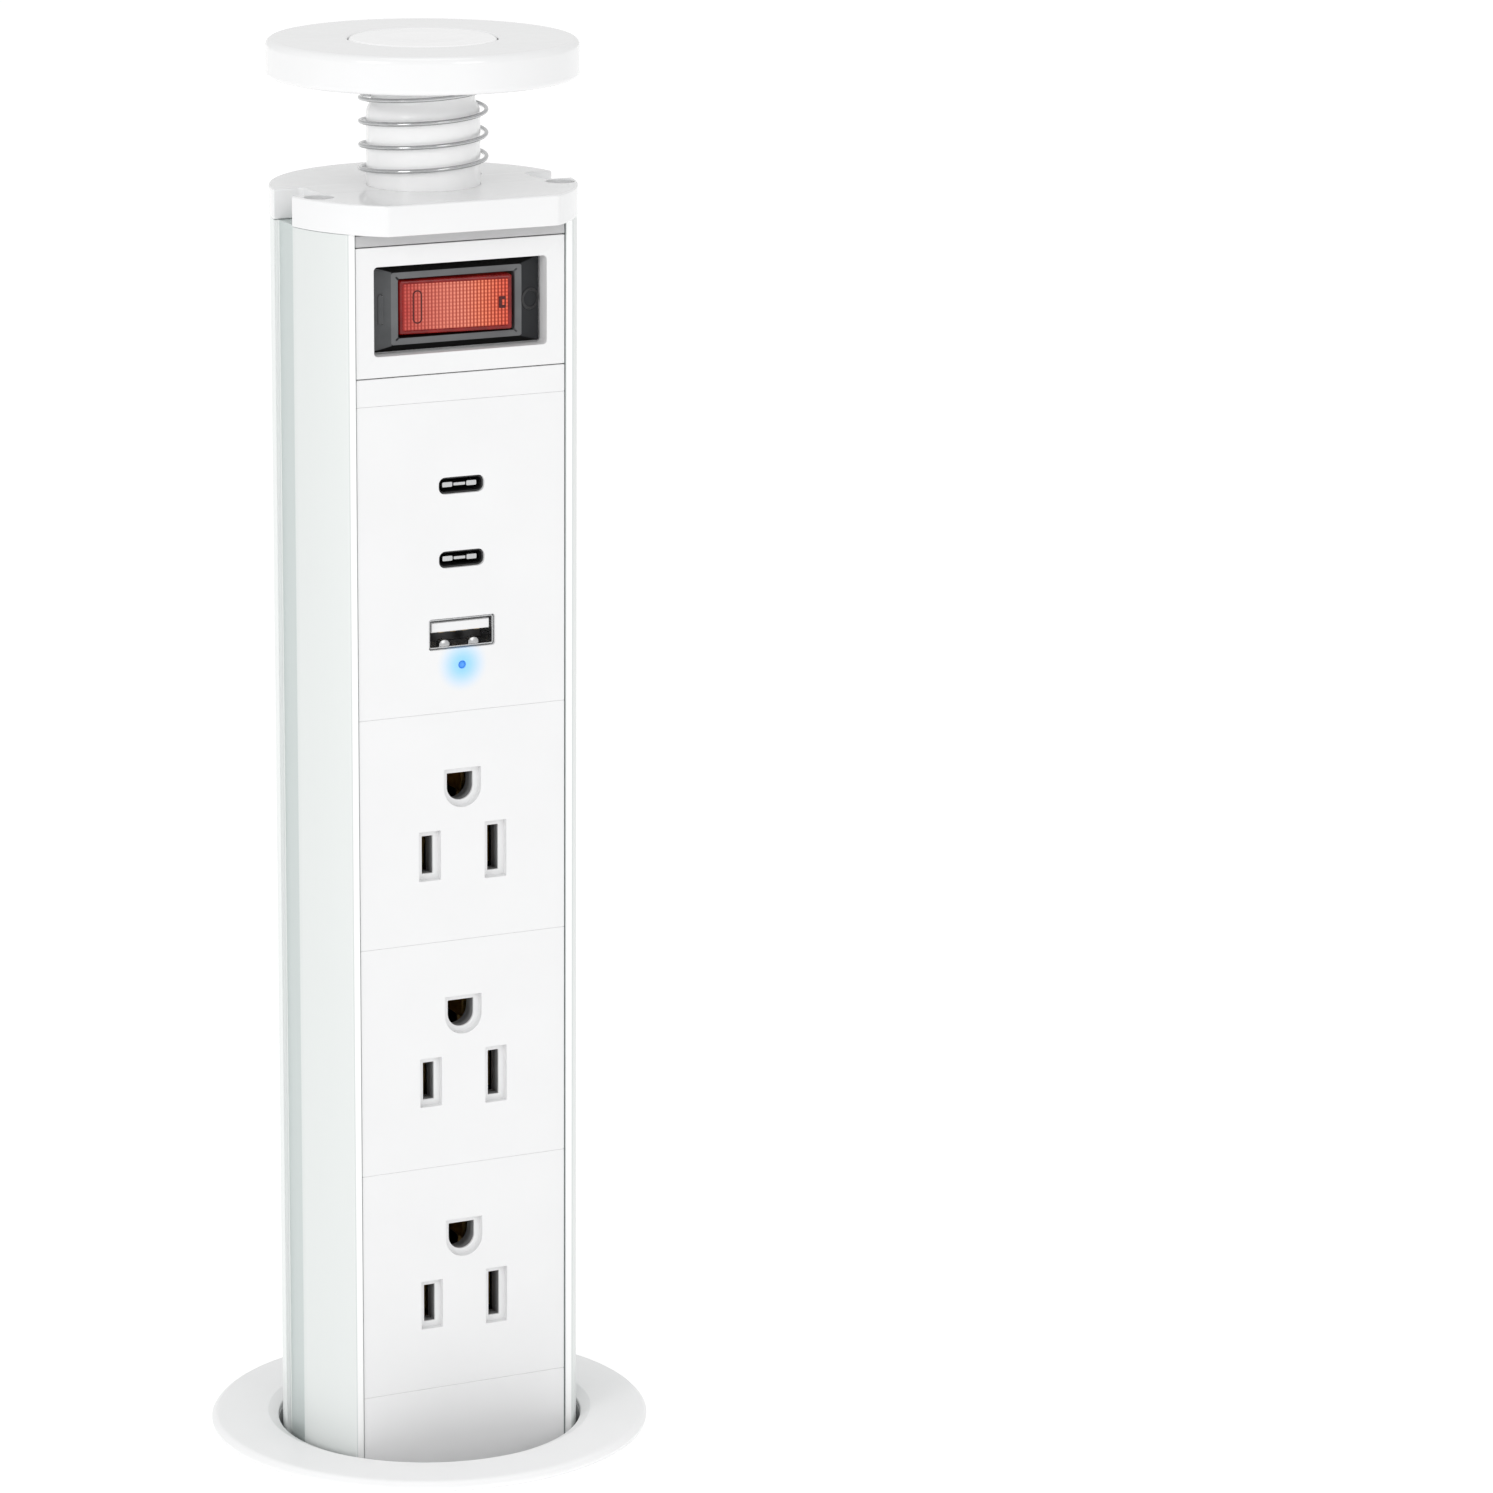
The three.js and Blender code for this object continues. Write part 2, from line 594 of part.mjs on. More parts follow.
// A block that tapers along Y from one rectangle at the back to a smaller one at the front
function frustum([w0, h0], [w1, h1], back, front, z) {
  const corners = (w, h, y) => [
    [-w / 2, y, z - h / 2],
    [w / 2, y, z - h / 2],
    [w / 2, y, z + h / 2],
    [-w / 2, y, z + h / 2],
  ];
  const vertices = [...corners(w1, h1, front), ...corners(w0, h0, back)].flat();
  const faces = [0, 1, 2, 0, 2, 3, 4, 6, 5, 4, 7, 6];
  for (let i = 0; i < 4; i += 1) {
    const j = (i + 1) % 4;
    faces.push(i, i + 4, j + 4, i, j + 4, j);
  }
  const geometry = new THREE.BufferGeometry();
  geometry.setAttribute("position", new THREE.Float32BufferAttribute(vertices, 3));
  geometry.setIndex(faces);
  return geometry;
}

// The rocker in its ON position: its left end is pressed in
function rockerButton() {
  const [width, height] = SWITCH.rocker;
  const half = width / 2;
  const hub = 2.3;
  const skin = 2.0;
  const face = SWITCH.rockerFace;
  const shape = new THREE.Shape();
  shape.moveTo(-half, face).lineTo(half, face);
  shape.lineTo(half, face + skin).lineTo(hub, face + skin);
  shape.lineTo(hub, SWITCH.pivotY);
  shape.absarc(0, SWITCH.pivotY, hub, 0, Math.PI, false);
  shape.lineTo(-hub, face + skin).lineTo(-half, face + skin);
  const level = cut(prism(shape, -height / 2, height / 2, 8), rod(1.3, -height, height, 0, SWITCH.pivotY));
  level.translate(0, -SWITCH.pivotY, 0);
  level.rotateZ(THREE.MathUtils.degToRad(-SWITCH.tilt));
  return level.translate(0, SWITCH.pivotY, SWITCH.height);
}

const rocker = group();
add(tower, "switch_housing", switchHousing(), MATERIAL.black());
add(rocker, "rocker_button", rockerButton(), MATERIAL.red());
const pinHalf = SWITCH.window[1] / 2 - GAP;
const pin = rod(1.0, SWITCH.height - pinHalf, SWITCH.height + pinHalf, 0, SWITCH.pivotY, 16);
add(tower, "switch_pivot_pin", pin, MATERIAL.steel());
const LAMP = { radius: 1.5, halfLength: 3.5, x: 7.0, behindPivot: 3.9 };
const [lampLow, lampHigh] = [SWITCH.height - LAMP.halfLength, SWITCH.height + LAMP.halfLength];
const lamp = rod(LAMP.radius, lampLow, lampHigh, LAMP.x, SWITCH.pivotY + LAMP.behindPivot);
add(tower, "indicator_lamp", lamp, MATERIAL.amber());

const TERMINAL = { spacing: 8.0, halfWidth: 2.4, halfThickness: 0.4, length: 6.0 };
const terminalFront = SWITCH.bodyBack + GAP;
const terminalBack = terminalFront + TERMINAL.length;
for (let i = 0; i < 3; i += 1) {
  const x = (i - 1) * TERMINAL.spacing;
  const [left, right] = [x - TERMINAL.halfThickness, x + TERMINAL.halfThickness];
  const [low, high] = [SWITCH.height - TERMINAL.halfWidth, SWITCH.height + TERMINAL.halfWidth];
  const blade = block(left, right, terminalFront, terminalBack, low, high);
  add(tower, `switch_terminal_${i + 1}`, blade, MATERIAL.brass());
}

// ---------------------------------------------------------------- USB charger
// A sheet-metal connector shell, open at both ends
function connectorShell(size, wall, round, height) {
  const back = BOARD.front - GAP;
  const hollow = rectangle(...grow(size, -2 * wall), round - wall);
  const outside = prismBack(rectangle(...size, round), PORT_FRONT, back, height, 0, 6);
  const inside = prismBack(hollow, PORT_FRONT - 1, back + 1, height, 0, 6);
  return cut(outside, inside);
}

const tongueFront = PORT_FRONT + 1.0;
const tongueBack = BOARD.front - GAP;
const tongue = ([width, height], z) =>
  block(-width / 2, width / 2, tongueFront, tongueBack, z - height / 2, z + height / 2);

const board = block(-BOARD.halfWidth, BOARD.halfWidth, BOARD.front, BOARD.back, BOARD.bottom, BOARD.top);
add(tower, "usb_circuit_board", board, MATERIAL.board());
USB_C.heights.forEach((z, i) => {
  const round = USB_C.shell[1] / 2 - 0.01;
  add(tower, `usb_c_shell_${i + 1}`, connectorShell(USB_C.shell, USB_C.wall, round, z), MATERIAL.steel());
  add(tower, `usb_c_tongue_${i + 1}`, tongue(USB_C.tongue, z), MATERIAL.black());
});
add(tower, "usb_a_shell", connectorShell(USB_A.shell, USB_A.wall, 0.6, USB_A.height), MATERIAL.steel());
add(tower, "usb_a_tongue", tongue(USB_A.tongue, USB_A.height + USB_A.tongueRise), MATERIAL.satin());
const pipe = rodBack(LED.radius, PANEL.front, BOARD.front - GAP, 0, LED.height, 16);
add(tower, "led_light_pipe", pipe, MATERIAL.blue());

const TRANSFORMER = { halfWidth: 8.0, back: 5.0, bottom: 150.0, top: 166.0 };
const CAPACITOR = { radius: 4.0, back: 6.0, x: 8.0, height: 180.0 };
const boardRear = BOARD.back + GAP;
const coreHalf = TRANSFORMER.halfWidth;
const core = block(-coreHalf, coreHalf, boardRear, TRANSFORMER.back, TRANSFORMER.bottom, TRANSFORMER.top);
const capacitor = (x) => rodBack(CAPACITOR.radius, boardRear, CAPACITOR.back, x, CAPACITOR.height);
add(tower, "charger_transformer", core, MATERIAL.grey());
add(tower, "charger_capacitor_left", capacitor(-CAPACITOR.x), MATERIAL.black());
add(tower, "charger_capacitor_right", capacitor(CAPACITOR.x), MATERIAL.black());

// ---------------------------------------------------------------- mains side of the outlets
function outletHousing() {
  const front = PANEL.railBack + GAP;
  const { halfWidth, back, wall } = HOUSING;
  const [low, high] = [BOTTOM_FILLER_TOP + GAP, JOINT.outlets - GAP];
  const outside = block(-halfWidth, halfWidth, front, back, low, high);
  const inside = block(-halfWidth + wall, halfWidth - wall, front - 1, back - wall, low - 1, high + 1);
  return cut(outside, inside);
}

// A brass strip with a pair of leaves behind each outlet's slot
function busBar(x, stripBack, halfStrip, halfGap, leafHeight, drop) {
  const stripFront = stripBack - BUS.thickness;
  const parts = [block(x - halfStrip, x + halfStrip, stripFront, stripBack, BUS.bottom, BUS.top)];
  for (let i = 0; i < OUTLET_COUNT; i += 1) {
    const z = outletTop(i) - drop;
    const [low, high] = [z - leafHeight / 2, z + leafHeight / 2];
    parts.push(block(x - halfGap - BUS.leaf, x + halfGap + BUS.leaf, stripFront, stripBack, low, high));
    for (const side of [-1, 1]) {
      const near = x + side * halfGap;
      const far = near + side * BUS.leaf;
      parts.push(block(Math.min(near, far), Math.max(near, far), BUS.leafFront, stripBack, low, high));
    }
  }
  return join(...parts);
}

const bladeX = OUTLET.bladeHalfSpacing;
add(tower, "outlet_rear_housing", outletHousing(), MATERIAL.black());
add(tower, "live_bus", busBar(-bladeX, -2.0, 1.6, 1.1, 7.0, OUTLET.slotDrop), MATERIAL.brass());
add(tower, "neutral_bus", busBar(bladeX, -2.0, 1.6, 1.1, 8.0, OUTLET.slotDrop), MATERIAL.brass());
add(tower, "ground_bus", busBar(0, -0.6, 1.4, 2.5, 5.0, OUTLET.groundDrop), MATERIAL.brass());

// ---------------------------------------------------------------- wires
const WIRE_RADIUS = 1.2;

function wire(steps, ...points) {
  const curve = new THREE.CatmullRomCurve3(points.map((p) => new THREE.Vector3(...p)));
  return along(curve, WIRE_RADIUS, steps);
}

const busEnd = BUS.bottom - GAP;
const wireFoot = -31.0;
const wireEnd = terminalBack + GAP;
const [leftTerminal, rightTerminal] = [-TERMINAL.spacing, 0];
const liveWire = wire(
  36,
  [-2.2, 2.0, wireFoot],
  [-3.5, 7.0, -18],
  [-8, 12, 2],
  [-8, 13, 60],
  [-8, 13, 130],
  [-8, 14, 190],
  [-8, 15, 205],
  [leftTerminal, wireEnd + 2.2, SWITCH.height],
  [leftTerminal, wireEnd, SWITCH.height],
);
const switchedWire = wire(
  24,
  [rightTerminal, wireEnd, SWITCH.height],
  [rightTerminal, wireEnd + 2.2, SWITCH.height],
  [0, 15, 205],
  [0, 13, 188],
  [0, 10, 160],
  [-4, 7, 148],
  [-6, 3, 141.5],
  [-bladeX, -1.6, 138.5],
  [-bladeX, -2.3, 135.5],
  [-bladeX, -2.3, BUS.top + GAP],
);
add(tower, "live_wire", liveWire, MATERIAL.black());
add(tower, "switched_wire", switchedWire, MATERIAL.red());
add(
  tower,
  "neutral_wire",
  wire(12, [2.2, 1.0, wireFoot], [3.5, 1.5, -20], [bladeX, -1.6, -6], [bladeX, -2.3, busEnd]),
  MATERIAL.satin(),
);
add(
  tower,
  "ground_wire",
  wire(12, [0, -2.4, wireFoot], [0, -2.8, -20], [0, -1.6, -6], [0, -0.9, busEnd]),
  MATERIAL.board(),
);

// ---------------------------------------------------------------- bottom cap and cord gland
function bottomCap() {
  const disc = ring(CAP.hole, TOWER.radius, CAP.bottom, CAP.top);
  return cut(disc, ...screwHoles(CAP.bottom, CAP.top, -1));
}

const capHeadFace = CAP.bottom + 1 - GAP;
add(tower, "bottom_cap", bottomCap(), MATERIAL.satin());
add(tower, "bottom_cap_screw_left", screw(-1, capHeadFace, -1), MATERIAL.steel());
add(tower, "bottom_cap_screw_right", screw(1, capHeadFace, -1), MATERIAL.steel());

const glandShoulder = CAP.bottom - GAP;
const glandFoot = glandShoulder - 3.7;
const lockTop = CAP.top + 3.6;
const glandBody = turned(
  [
    [GLAND.bore, glandFoot],
    [GLAND.flange, glandFoot],
    [GLAND.flange, glandShoulder],
    [GLAND.thread, glandShoulder],
    [GLAND.thread, lockTop],
    [GLAND.bore, lockTop],
  ],
  SMALL * 2,
);
const domeTop = glandFoot - GAP;
const domeNut = turned(
  [
    [4.1, GLAND.mouth],
    [7.4, GLAND.mouth],
    [GLAND.flange, GLAND.mouth + 2.5],
    [GLAND.flange, domeTop],
    [6.0, domeTop],
    [6.0, GLAND.mouth + 1.5],
    [4.1, GLAND.mouth + 1.5],
  ],
  SMALL * 2,
);
add(tower, "gland_body", glandBody, MATERIAL.satin());
add(tower, "gland_lock_nut", hexNut(GLAND.thread + GAP, 9.4, CAP.top + GAP, lockTop - 0.2), MATERIAL.satin());
add(tower, "gland_dome_nut", domeNut, MATERIAL.satin());
const bush = ring(GLAND.bore, 5.7, GLAND.mouth + 1.5 + GAP, domeTop - GAP, SMALL);
add(tower, "gland_bush", bush, MATERIAL.rubber());

export default power_tower;
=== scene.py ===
import json
import math

import bmesh
import bpy
from mathutils import Euler, Matrix, Vector


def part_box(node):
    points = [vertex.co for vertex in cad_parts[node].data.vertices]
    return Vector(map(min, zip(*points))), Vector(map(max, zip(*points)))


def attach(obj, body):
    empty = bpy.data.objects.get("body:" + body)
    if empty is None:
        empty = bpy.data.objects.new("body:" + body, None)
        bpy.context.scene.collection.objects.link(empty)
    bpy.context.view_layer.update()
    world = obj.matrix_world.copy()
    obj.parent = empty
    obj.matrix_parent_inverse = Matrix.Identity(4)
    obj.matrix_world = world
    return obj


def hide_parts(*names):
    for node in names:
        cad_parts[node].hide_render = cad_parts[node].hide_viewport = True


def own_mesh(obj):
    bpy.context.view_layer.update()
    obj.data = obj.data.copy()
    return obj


# Looks of the pop-up desk power tower. The scene is in metres, +Z up, with the socket panels facing -Y.
# Shapes are drawn in millimetres in the same frame, and piece() scales each finished mesh to metres.

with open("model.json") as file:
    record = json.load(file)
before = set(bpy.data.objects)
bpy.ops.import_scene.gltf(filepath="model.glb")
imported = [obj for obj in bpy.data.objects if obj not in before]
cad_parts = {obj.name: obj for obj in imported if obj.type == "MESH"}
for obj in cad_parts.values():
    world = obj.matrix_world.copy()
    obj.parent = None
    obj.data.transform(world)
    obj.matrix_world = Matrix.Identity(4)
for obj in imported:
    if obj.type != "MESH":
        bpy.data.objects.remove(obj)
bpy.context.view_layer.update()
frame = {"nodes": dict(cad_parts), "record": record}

MM = 0.001
SIDES = 128  # of a large turned piece
ROUND_STEPS = 6  # of a rounded corner
X, Y, Z = 0, 1, 2


def span(node, axis):
    """The lowest and highest place of a CAD node along an axis, in millimetres."""
    low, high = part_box(node)
    return low[axis] / MM, high[axis] / MM


# ---------------- outlines, as lists of (x, y)
def arc(centre, radius, start, end, steps):
    """Points on an arc, its angles in degrees."""
    turns = [math.radians(start + (end - start) * i / steps) for i in range(steps + 1)]
    return [(centre[0] + radius * math.cos(a), centre[1] + radius * math.sin(a)) for a in turns]


def polar(radius, degrees):
    """The point at a distance and an angle from the origin."""
    return radius * math.cos(math.radians(degrees)), radius * math.sin(math.radians(degrees))


def angle_at(height, radius):
    """The angle, in degrees, at which a circle reaches a height."""
    return math.degrees(math.asin(height / radius))


def circle(radius, centre=(0, 0), steps=48):
    return arc(centre, radius, 0, 360 - 360 / steps, steps - 1)


def wavy(radius, depth, waves, steps):
    """A circle whose radius swings by the depth, with so many waves and steps in each."""
    turns = [360 * i / (waves * steps) for i in range(waves * steps)]
    return [polar(radius + depth * math.cos(math.radians(waves * turn)), turn) for turn in turns]


def rounded(corners, steps=ROUND_STEPS):
    """A closed outline whose (x, y, radius) corners are rounded; a corner without a radius stays sharp."""
    outline = []
    count = len(corners)
    for i, corner in enumerate(corners):
        here = Vector(corner[:2])
        radius = corner[2] if len(corner) > 2 else 0
        if radius == 0:
            outline.append(tuple(here))
            continue
        before = Vector(corners[i - 1][:2]) - here
        after = Vector(corners[(i + 1) % count][:2]) - here
        half = before.angle(after) / 2
        reach = min(radius / math.tan(half), 0.49 * before.length, 0.49 * after.length)
        bisector = (before.normalized() + after.normalized()).normalized()
        centre = here + bisector * reach / math.cos(half)
        start = here + before.normalized() * reach - centre
        end = here + after.normalized() * reach - centre
        first = math.atan2(start.y, start.x)
        sweep = (math.atan2(end.y, end.x) - first + math.pi) % (2 * math.pi) - math.pi
        for k in range(steps + 1):
            x, y = polar(start.length, math.degrees(first + sweep * k / steps))
            outline.append((centre.x + x, centre.y + y))
    return outline


def rectangle(width, height, radius=0.0, centre=(0, 0), steps=ROUND_STEPS):
    x, y = width / 2, height / 2
    corners = [(-x, -y, radius), (x, -y, radius), (x, y, radius), (-x, y, radius)]
    return [(u + centre[0], v + centre[1]) for u, v in rounded(corners, steps)]


def bezier(a, b, c, d, steps=12):
    """Points on a cubic curve from a to d."""
    points = []
    for i in range(steps + 1):
        t = i / steps
        weights = ((1 - t) ** 3, 3 * t * (1 - t) ** 2, 3 * t * t * (1 - t), t**3)
        points.append(tuple(sum(w * p[k] for w, p in zip(weights, (a, b, c, d))) for k in (0, 1)))
    return points


# ---------------- meshes, in millimetres
def mesh_of(bm):
    bmesh.ops.recalc_face_normals(bm, faces=bm.faces)
    mesh = bpy.data.meshes.new("shape")
    bm.to_mesh(mesh)
    bm.free()
    return mesh


def evaluated_mesh(obj):
    bpy.context.view_layer.update()
    graph = bpy.context.evaluated_depsgraph_get()
    return bpy.data.meshes.new_from_object(obj.evaluated_get(graph))


def added(data, name="holder"):
    """A new object in the scene."""
    obj = bpy.data.objects.new(name, data)
    bpy.context.scene.collection.objects.link(obj)
    return obj


def stood_up(bm):
    """Turns a mesh drawn in XY and raised along Z, so that y becomes the height and the top the front."""
    bmesh.ops.rotate(bm, verts=bm.verts, matrix=Matrix.Rotation(math.pi / 2, 3, "X"))


def slab(outlines, low, high, edge=0.0, axis=Z, steps=1):
    """A plate of the first outline from low to high, with the other outlines as holes and soft edges."""
    if axis == Y:
        low, high = -high, -low
    curve = bpy.data.curves.new("outline", "CURVE")
    curve.dimensions = "2D"
    curve.fill_mode = "BOTH"
    curve.extrude = (high - low) / 2 - edge
    curve.bevel_depth = edge
    curve.bevel_resolution = steps
    curve.offset = -edge
    for outline in outlines:
        spline = curve.splines.new("POLY")
        spline.points.add(len(outline) - 1)
        for point, (x, y) in zip(spline.points, outline):
            point.co = (x, y, 0, 1)
        spline.use_cyclic_u = True
    obj = added(curve)
    raw = evaluated_mesh(obj)
    bpy.data.objects.remove(obj)
    bm = bmesh.new()
    bm.from_mesh(raw)
    bmesh.ops.remove_doubles(bm, verts=bm.verts, dist=1e-4)
    bmesh.ops.translate(bm, verts=bm.verts, vec=(0, 0, (low + high) / 2))
    if axis == Y:
        stood_up(bm)
    return mesh_of(bm)


def skin(bm, rows, ends="capped"):
    """Faces round and between rows of vertices; the ends are "capped", "joined" or left "open"."""
    count = len(rows[0])
    for a, b in zip(rows, rows[1:] + rows[:1] if ends == "joined" else rows[1:]):
        for k in range(count):
            j = (k + 1) % count
            corners = list(dict.fromkeys((a[k], a[j], b[j], b[k])))
            if len(corners) > 2:
                bm.faces.new(corners)
    if ends == "capped":
        bm.faces.new(rows[0])
        bm.faces.new(rows[-1])


def lofted(sections, ends="capped"):
    """A skin through outlines of equal length, each with its place along Y."""
    bm = bmesh.new()
    rows = [[bm.verts.new((x, z, -place)) for x, z in outline] for outline, place in sections]
    skin(bm, rows, ends)
    stood_up(bm)
    return mesh_of(bm)


def turned(profile, sides=SIDES):
    """A closed outline of (radius, height) turned about Z."""
    bm = bmesh.new()
    rows = []
    for radius, height in profile:
        if radius == 0:
            rows.append([bm.verts.new((0, 0, height))] * sides)
        else:
            rows.append([bm.verts.new((x, y, height)) for x, y in circle(radius, steps=sides)])
    skin(bm, rows, "joined")
    return mesh_of(bm)


def swept(path, section, tip, growth):
    """A section of (outward, up) points carried along a path round Z, growing from thin tips to full size."""
    bm = bmesh.new()
    rows = []
    for i, point in enumerate(path):
        way = i / (len(path) - 1)
        scale = min(1.0, tip + growth * way, tip + growth * (1 - way))
        outward = Vector((point.x, point.y, 0)).normalized()
        rows.append([bm.verts.new(point + (outward * u + Vector((0, 0, v))) * scale) for u, v in section])
    skin(bm, rows)
    return mesh_of(bm)


def helix(radius, low, high, turns, steps=72):
    """Points that wind upwards and anticlockwise round Z."""
    count = int(turns * steps)
    ways = [i / count for i in range(count + 1)]
    return [Vector((*polar(radius, 360 * turns * way), low + (high - low) * way)) for way in ways]


def combined(base, operation, *tools):
    """The base mesh with each tool added (UNION) or cut away (DIFFERENCE)."""
    obj = added(base)
    others = [added(tool) for tool in tools]
    for other in others:
        step = obj.modifiers.new("step", "BOOLEAN")
        step.operation = operation
        step.solver = "EXACT"
        step.object = other
    result = evaluated_mesh(obj)
    for spent in [obj, *others]:
        bpy.data.objects.remove(spent)
    return result


def joined(*meshes):
    bm = bmesh.new()
    for mesh in meshes:
        bm.from_mesh(mesh)
    result = bpy.data.meshes.new("shape")
    bm.to_mesh(result)
    bm.free()
    return result


def moved(mesh, x=0.0, y=0.0, z=0.0):
    mesh.transform(Matrix.Translation((x, y, z)))
    return mesh


def piece(name, mesh, slot, replaced=None, body="tower", look=None, sharp=40):
    """Makes a finished piece of a mesh: in metres, shaded, and riding on its body in place of a node."""
    mesh.name = name
    mesh.transform(Matrix.Scale(MM, 4))
    mesh.shade_smooth()
    mesh.set_sharp_from_angle(angle=math.radians(sharp))
    mesh.materials.clear()
    mesh.materials.append(MATERIALS[look or slot])
    obj = added(mesh, name)
    normals = obj.modifiers.new("even_shading", "WEIGHTED_NORMAL")
    normals.keep_sharp = True
    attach(obj, body)
    if replaced:
        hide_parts(replaced)
    return obj


# ---------------- materials
MATERIALS = {}  # by name


def shade(colour, by):
    return tuple(max(0.0, min(1.0, c * by)) for c in colour)


class Nodes:
    """A new material's node tree, with short calls for the nodes that these materials use."""

    def __init__(self, name):
        material = MATERIALS[name] = bpy.data.materials.new(name)
        material.use_nodes = True
        self.tree = material.node_tree
        coordinates = self.node("TexCoord").outputs
        self.place, self.normal = coordinates["Object"], coordinates["Normal"]

    def connect(self, socket, value):
        """Links an output to a socket, or sets a constant on it."""
        if isinstance(value, bpy.types.NodeSocket):
            self.tree.links.new(value, socket)
        else:
            socket.default_value = value

    def feed(self, node, inputs):
        """Connects a node's inputs by name, such as base_color."""
        for name, value in inputs.items():
            self.connect(node.inputs[name.replace("_", " ").title().replace("Ior", "IOR")], value)
        return node

    def node(self, kind, **inputs):
        return self.feed(self.tree.nodes.new(f"ShaderNode{kind}"), inputs)

    def paint(self, **inputs):
        """Connects the shader's own inputs."""
        self.feed(self.tree.nodes["Principled BSDF"], inputs)

    def stretched(self, scale):
        """Object coordinates, stretched along the axes where the scale is small."""
        return self.node("Mapping", scale=scale, vector=self.place).outputs["Vector"]

    def noise(self, size, detail=3.0, where=None):
        """Noise whose features are about size metres across."""
        node = self.node("TexNoise", scale=1 / size, detail=detail, vector=where or self.place)
        return node.outputs["Fac"]

    def ramp(self, source, *stops):
        """Colours at places from 0 to 1 along a value."""
        node = self.node("ValToRGB", fac=source)
        elements = node.color_ramp.elements
        while len(elements) < len(stops):
            elements.new(0.5)
        for element, (place, colour) in zip(elements, stops):
            element.position = place
            element.color = (*colour, 1)
        return node.outputs["Color"]

    def clouded(self, colour, variation, size=14e-3):
        """A colour with faint darker clouds."""
        return self.ramp(self.noise(size, detail=4), (0.3, shade(colour, 1 - variation)), (0.7, colour))

    def math(self, operation, *values):
        node = self.node("Math")
        node.operation = operation
        for socket, value in zip(node.inputs, values):
            self.connect(socket, value)
        return node.outputs[0]

    def between(self, source, low, high, from_low=0.0, from_high=1.0, smooth=False):
        """A value's range mapped to another range."""
        ends = {"from_min": from_low, "from_max": from_high, "to_min": low, "to_max": high}
        node = self.node("MapRange", value=source, **ends)
        node.interpolation_type = "SMOOTHSTEP" if smooth else "LINEAR"
        return node.outputs["Result"]

    def mix(self, factor, a, b):
        node = self.node("Mix")
        node.data_type = "RGBA"
        for i, value in ((0, factor), (6, a), (7, b)):
            self.connect(node.inputs[i], (*value, 1) if isinstance(value, tuple) else value)
        return node.outputs[2]

    def distance(self, point):
        """The distance from a point, in metres."""
        node = self.node("VectorMath")
        node.operation = "DISTANCE"
        self.connect(node.inputs[0], self.place)
        self.connect(node.inputs[1], point)
        return node.outputs["Value"]

    def parts(self, vector):
        """A vector's X, Y and Z."""
        return tuple(self.node("SeparateXYZ", vector=vector).outputs)

    def bump(self, height, strength, depth):
        self.paint(normal=self.node("Bump", strength=strength, distance=depth, height=height).outputs[0])


def moulded(name, colour, roughness, grain=0.25e-3, relief=6e-6, coat=0.0, variation=0.03):
    """Moulded plastic: faint cloudiness, uneven gloss and the fine grain of its mould."""
    nodes = Nodes(name)
    gloss = nodes.between(nodes.noise(2.5e-3, detail=5), roughness * 0.8, roughness * 1.25)
    nodes.paint(base_color=nodes.clouded(colour, variation), roughness=gloss)
    nodes.paint(coat_weight=coat, coat_roughness=0.08)
    nodes.bump(nodes.noise(grain, detail=2), 0.5, relief)


def metal(name, colour, roughness, along):
    """Metal with drawing or brushing marks that run along the axis whose scale is small."""
    nodes = Nodes(name)
    marks = nodes.noise(0.3e-3, where=nodes.stretched(along))
    gloss = nodes.between(marks, roughness * 0.7, roughness * 1.35)
    nodes.paint(base_color=nodes.clouded(colour, 0.12, 9e-3), roughness=gloss, metallic=1.0)
    nodes.bump(marks, 0.4, 3e-6)


WHITE = (0.80, 0.802, 0.805)
moulded("white_gloss", WHITE, 0.16, grain=0.6e-3, relief=2e-6, coat=0.4, variation=0.015)
moulded("white_satin", WHITE, 0.42, variation=0.02)
# Painted light: the knob is the same white gloss plastic as the lid, made paler to make up for the shade
# under the lid.
moulded("knob_white_painted_light", (0.92, 0.92, 0.922), 0.2, grain=0.6e-3, relief=2e-6, coat=0.3, variation=0.01)
moulded("collar_white", (0.87, 0.872, 0.875), 0.36, variation=0.02)
moulded("foam_rubber", (0.035, 0.036, 0.038), 0.8, grain=0.5e-3, relief=40e-6, variation=0.3)
moulded("grey_plastic", (0.34, 0.36, 0.38), 0.5, variation=0.08)
# Painted shadow: the top filler panel is white plastic, coloured this mid-grey for the shade cast by the
# plate above it.
moulded("filler_painted_shade", (0.50, 0.50, 0.505), 0.5, variation=0.04)
moulded("carrier_grey", (0.27, 0.27, 0.275), 0.6, variation=0.15)
moulded("black_plastic", (0.018, 0.018, 0.019), 0.3, relief=4e-6, variation=0.3)
moulded("board_green", (0.015, 0.12, 0.045), 0.35, variation=0.25)
moulded("wire_black", (0.02, 0.02, 0.02), 0.4, variation=0.2)
moulded("wire_red", (0.45, 0.02, 0.015), 0.4, variation=0.15)
moulded("wire_white", (0.75, 0.75, 0.74), 0.4, variation=0.05)
moulded("wire_green", (0.03, 0.28, 0.06), 0.4, variation=0.15)
metal("spring_steel", (0.52, 0.525, 0.53), 0.12, along=(0.4, 0.4, 1))
metal("connector_steel", (0.55, 0.555, 0.56), 0.28, along=(1, 0.05, 1))
metal("contact_brass", (0.62, 0.42, 0.16), 0.3, along=(1, 1, 0.05))


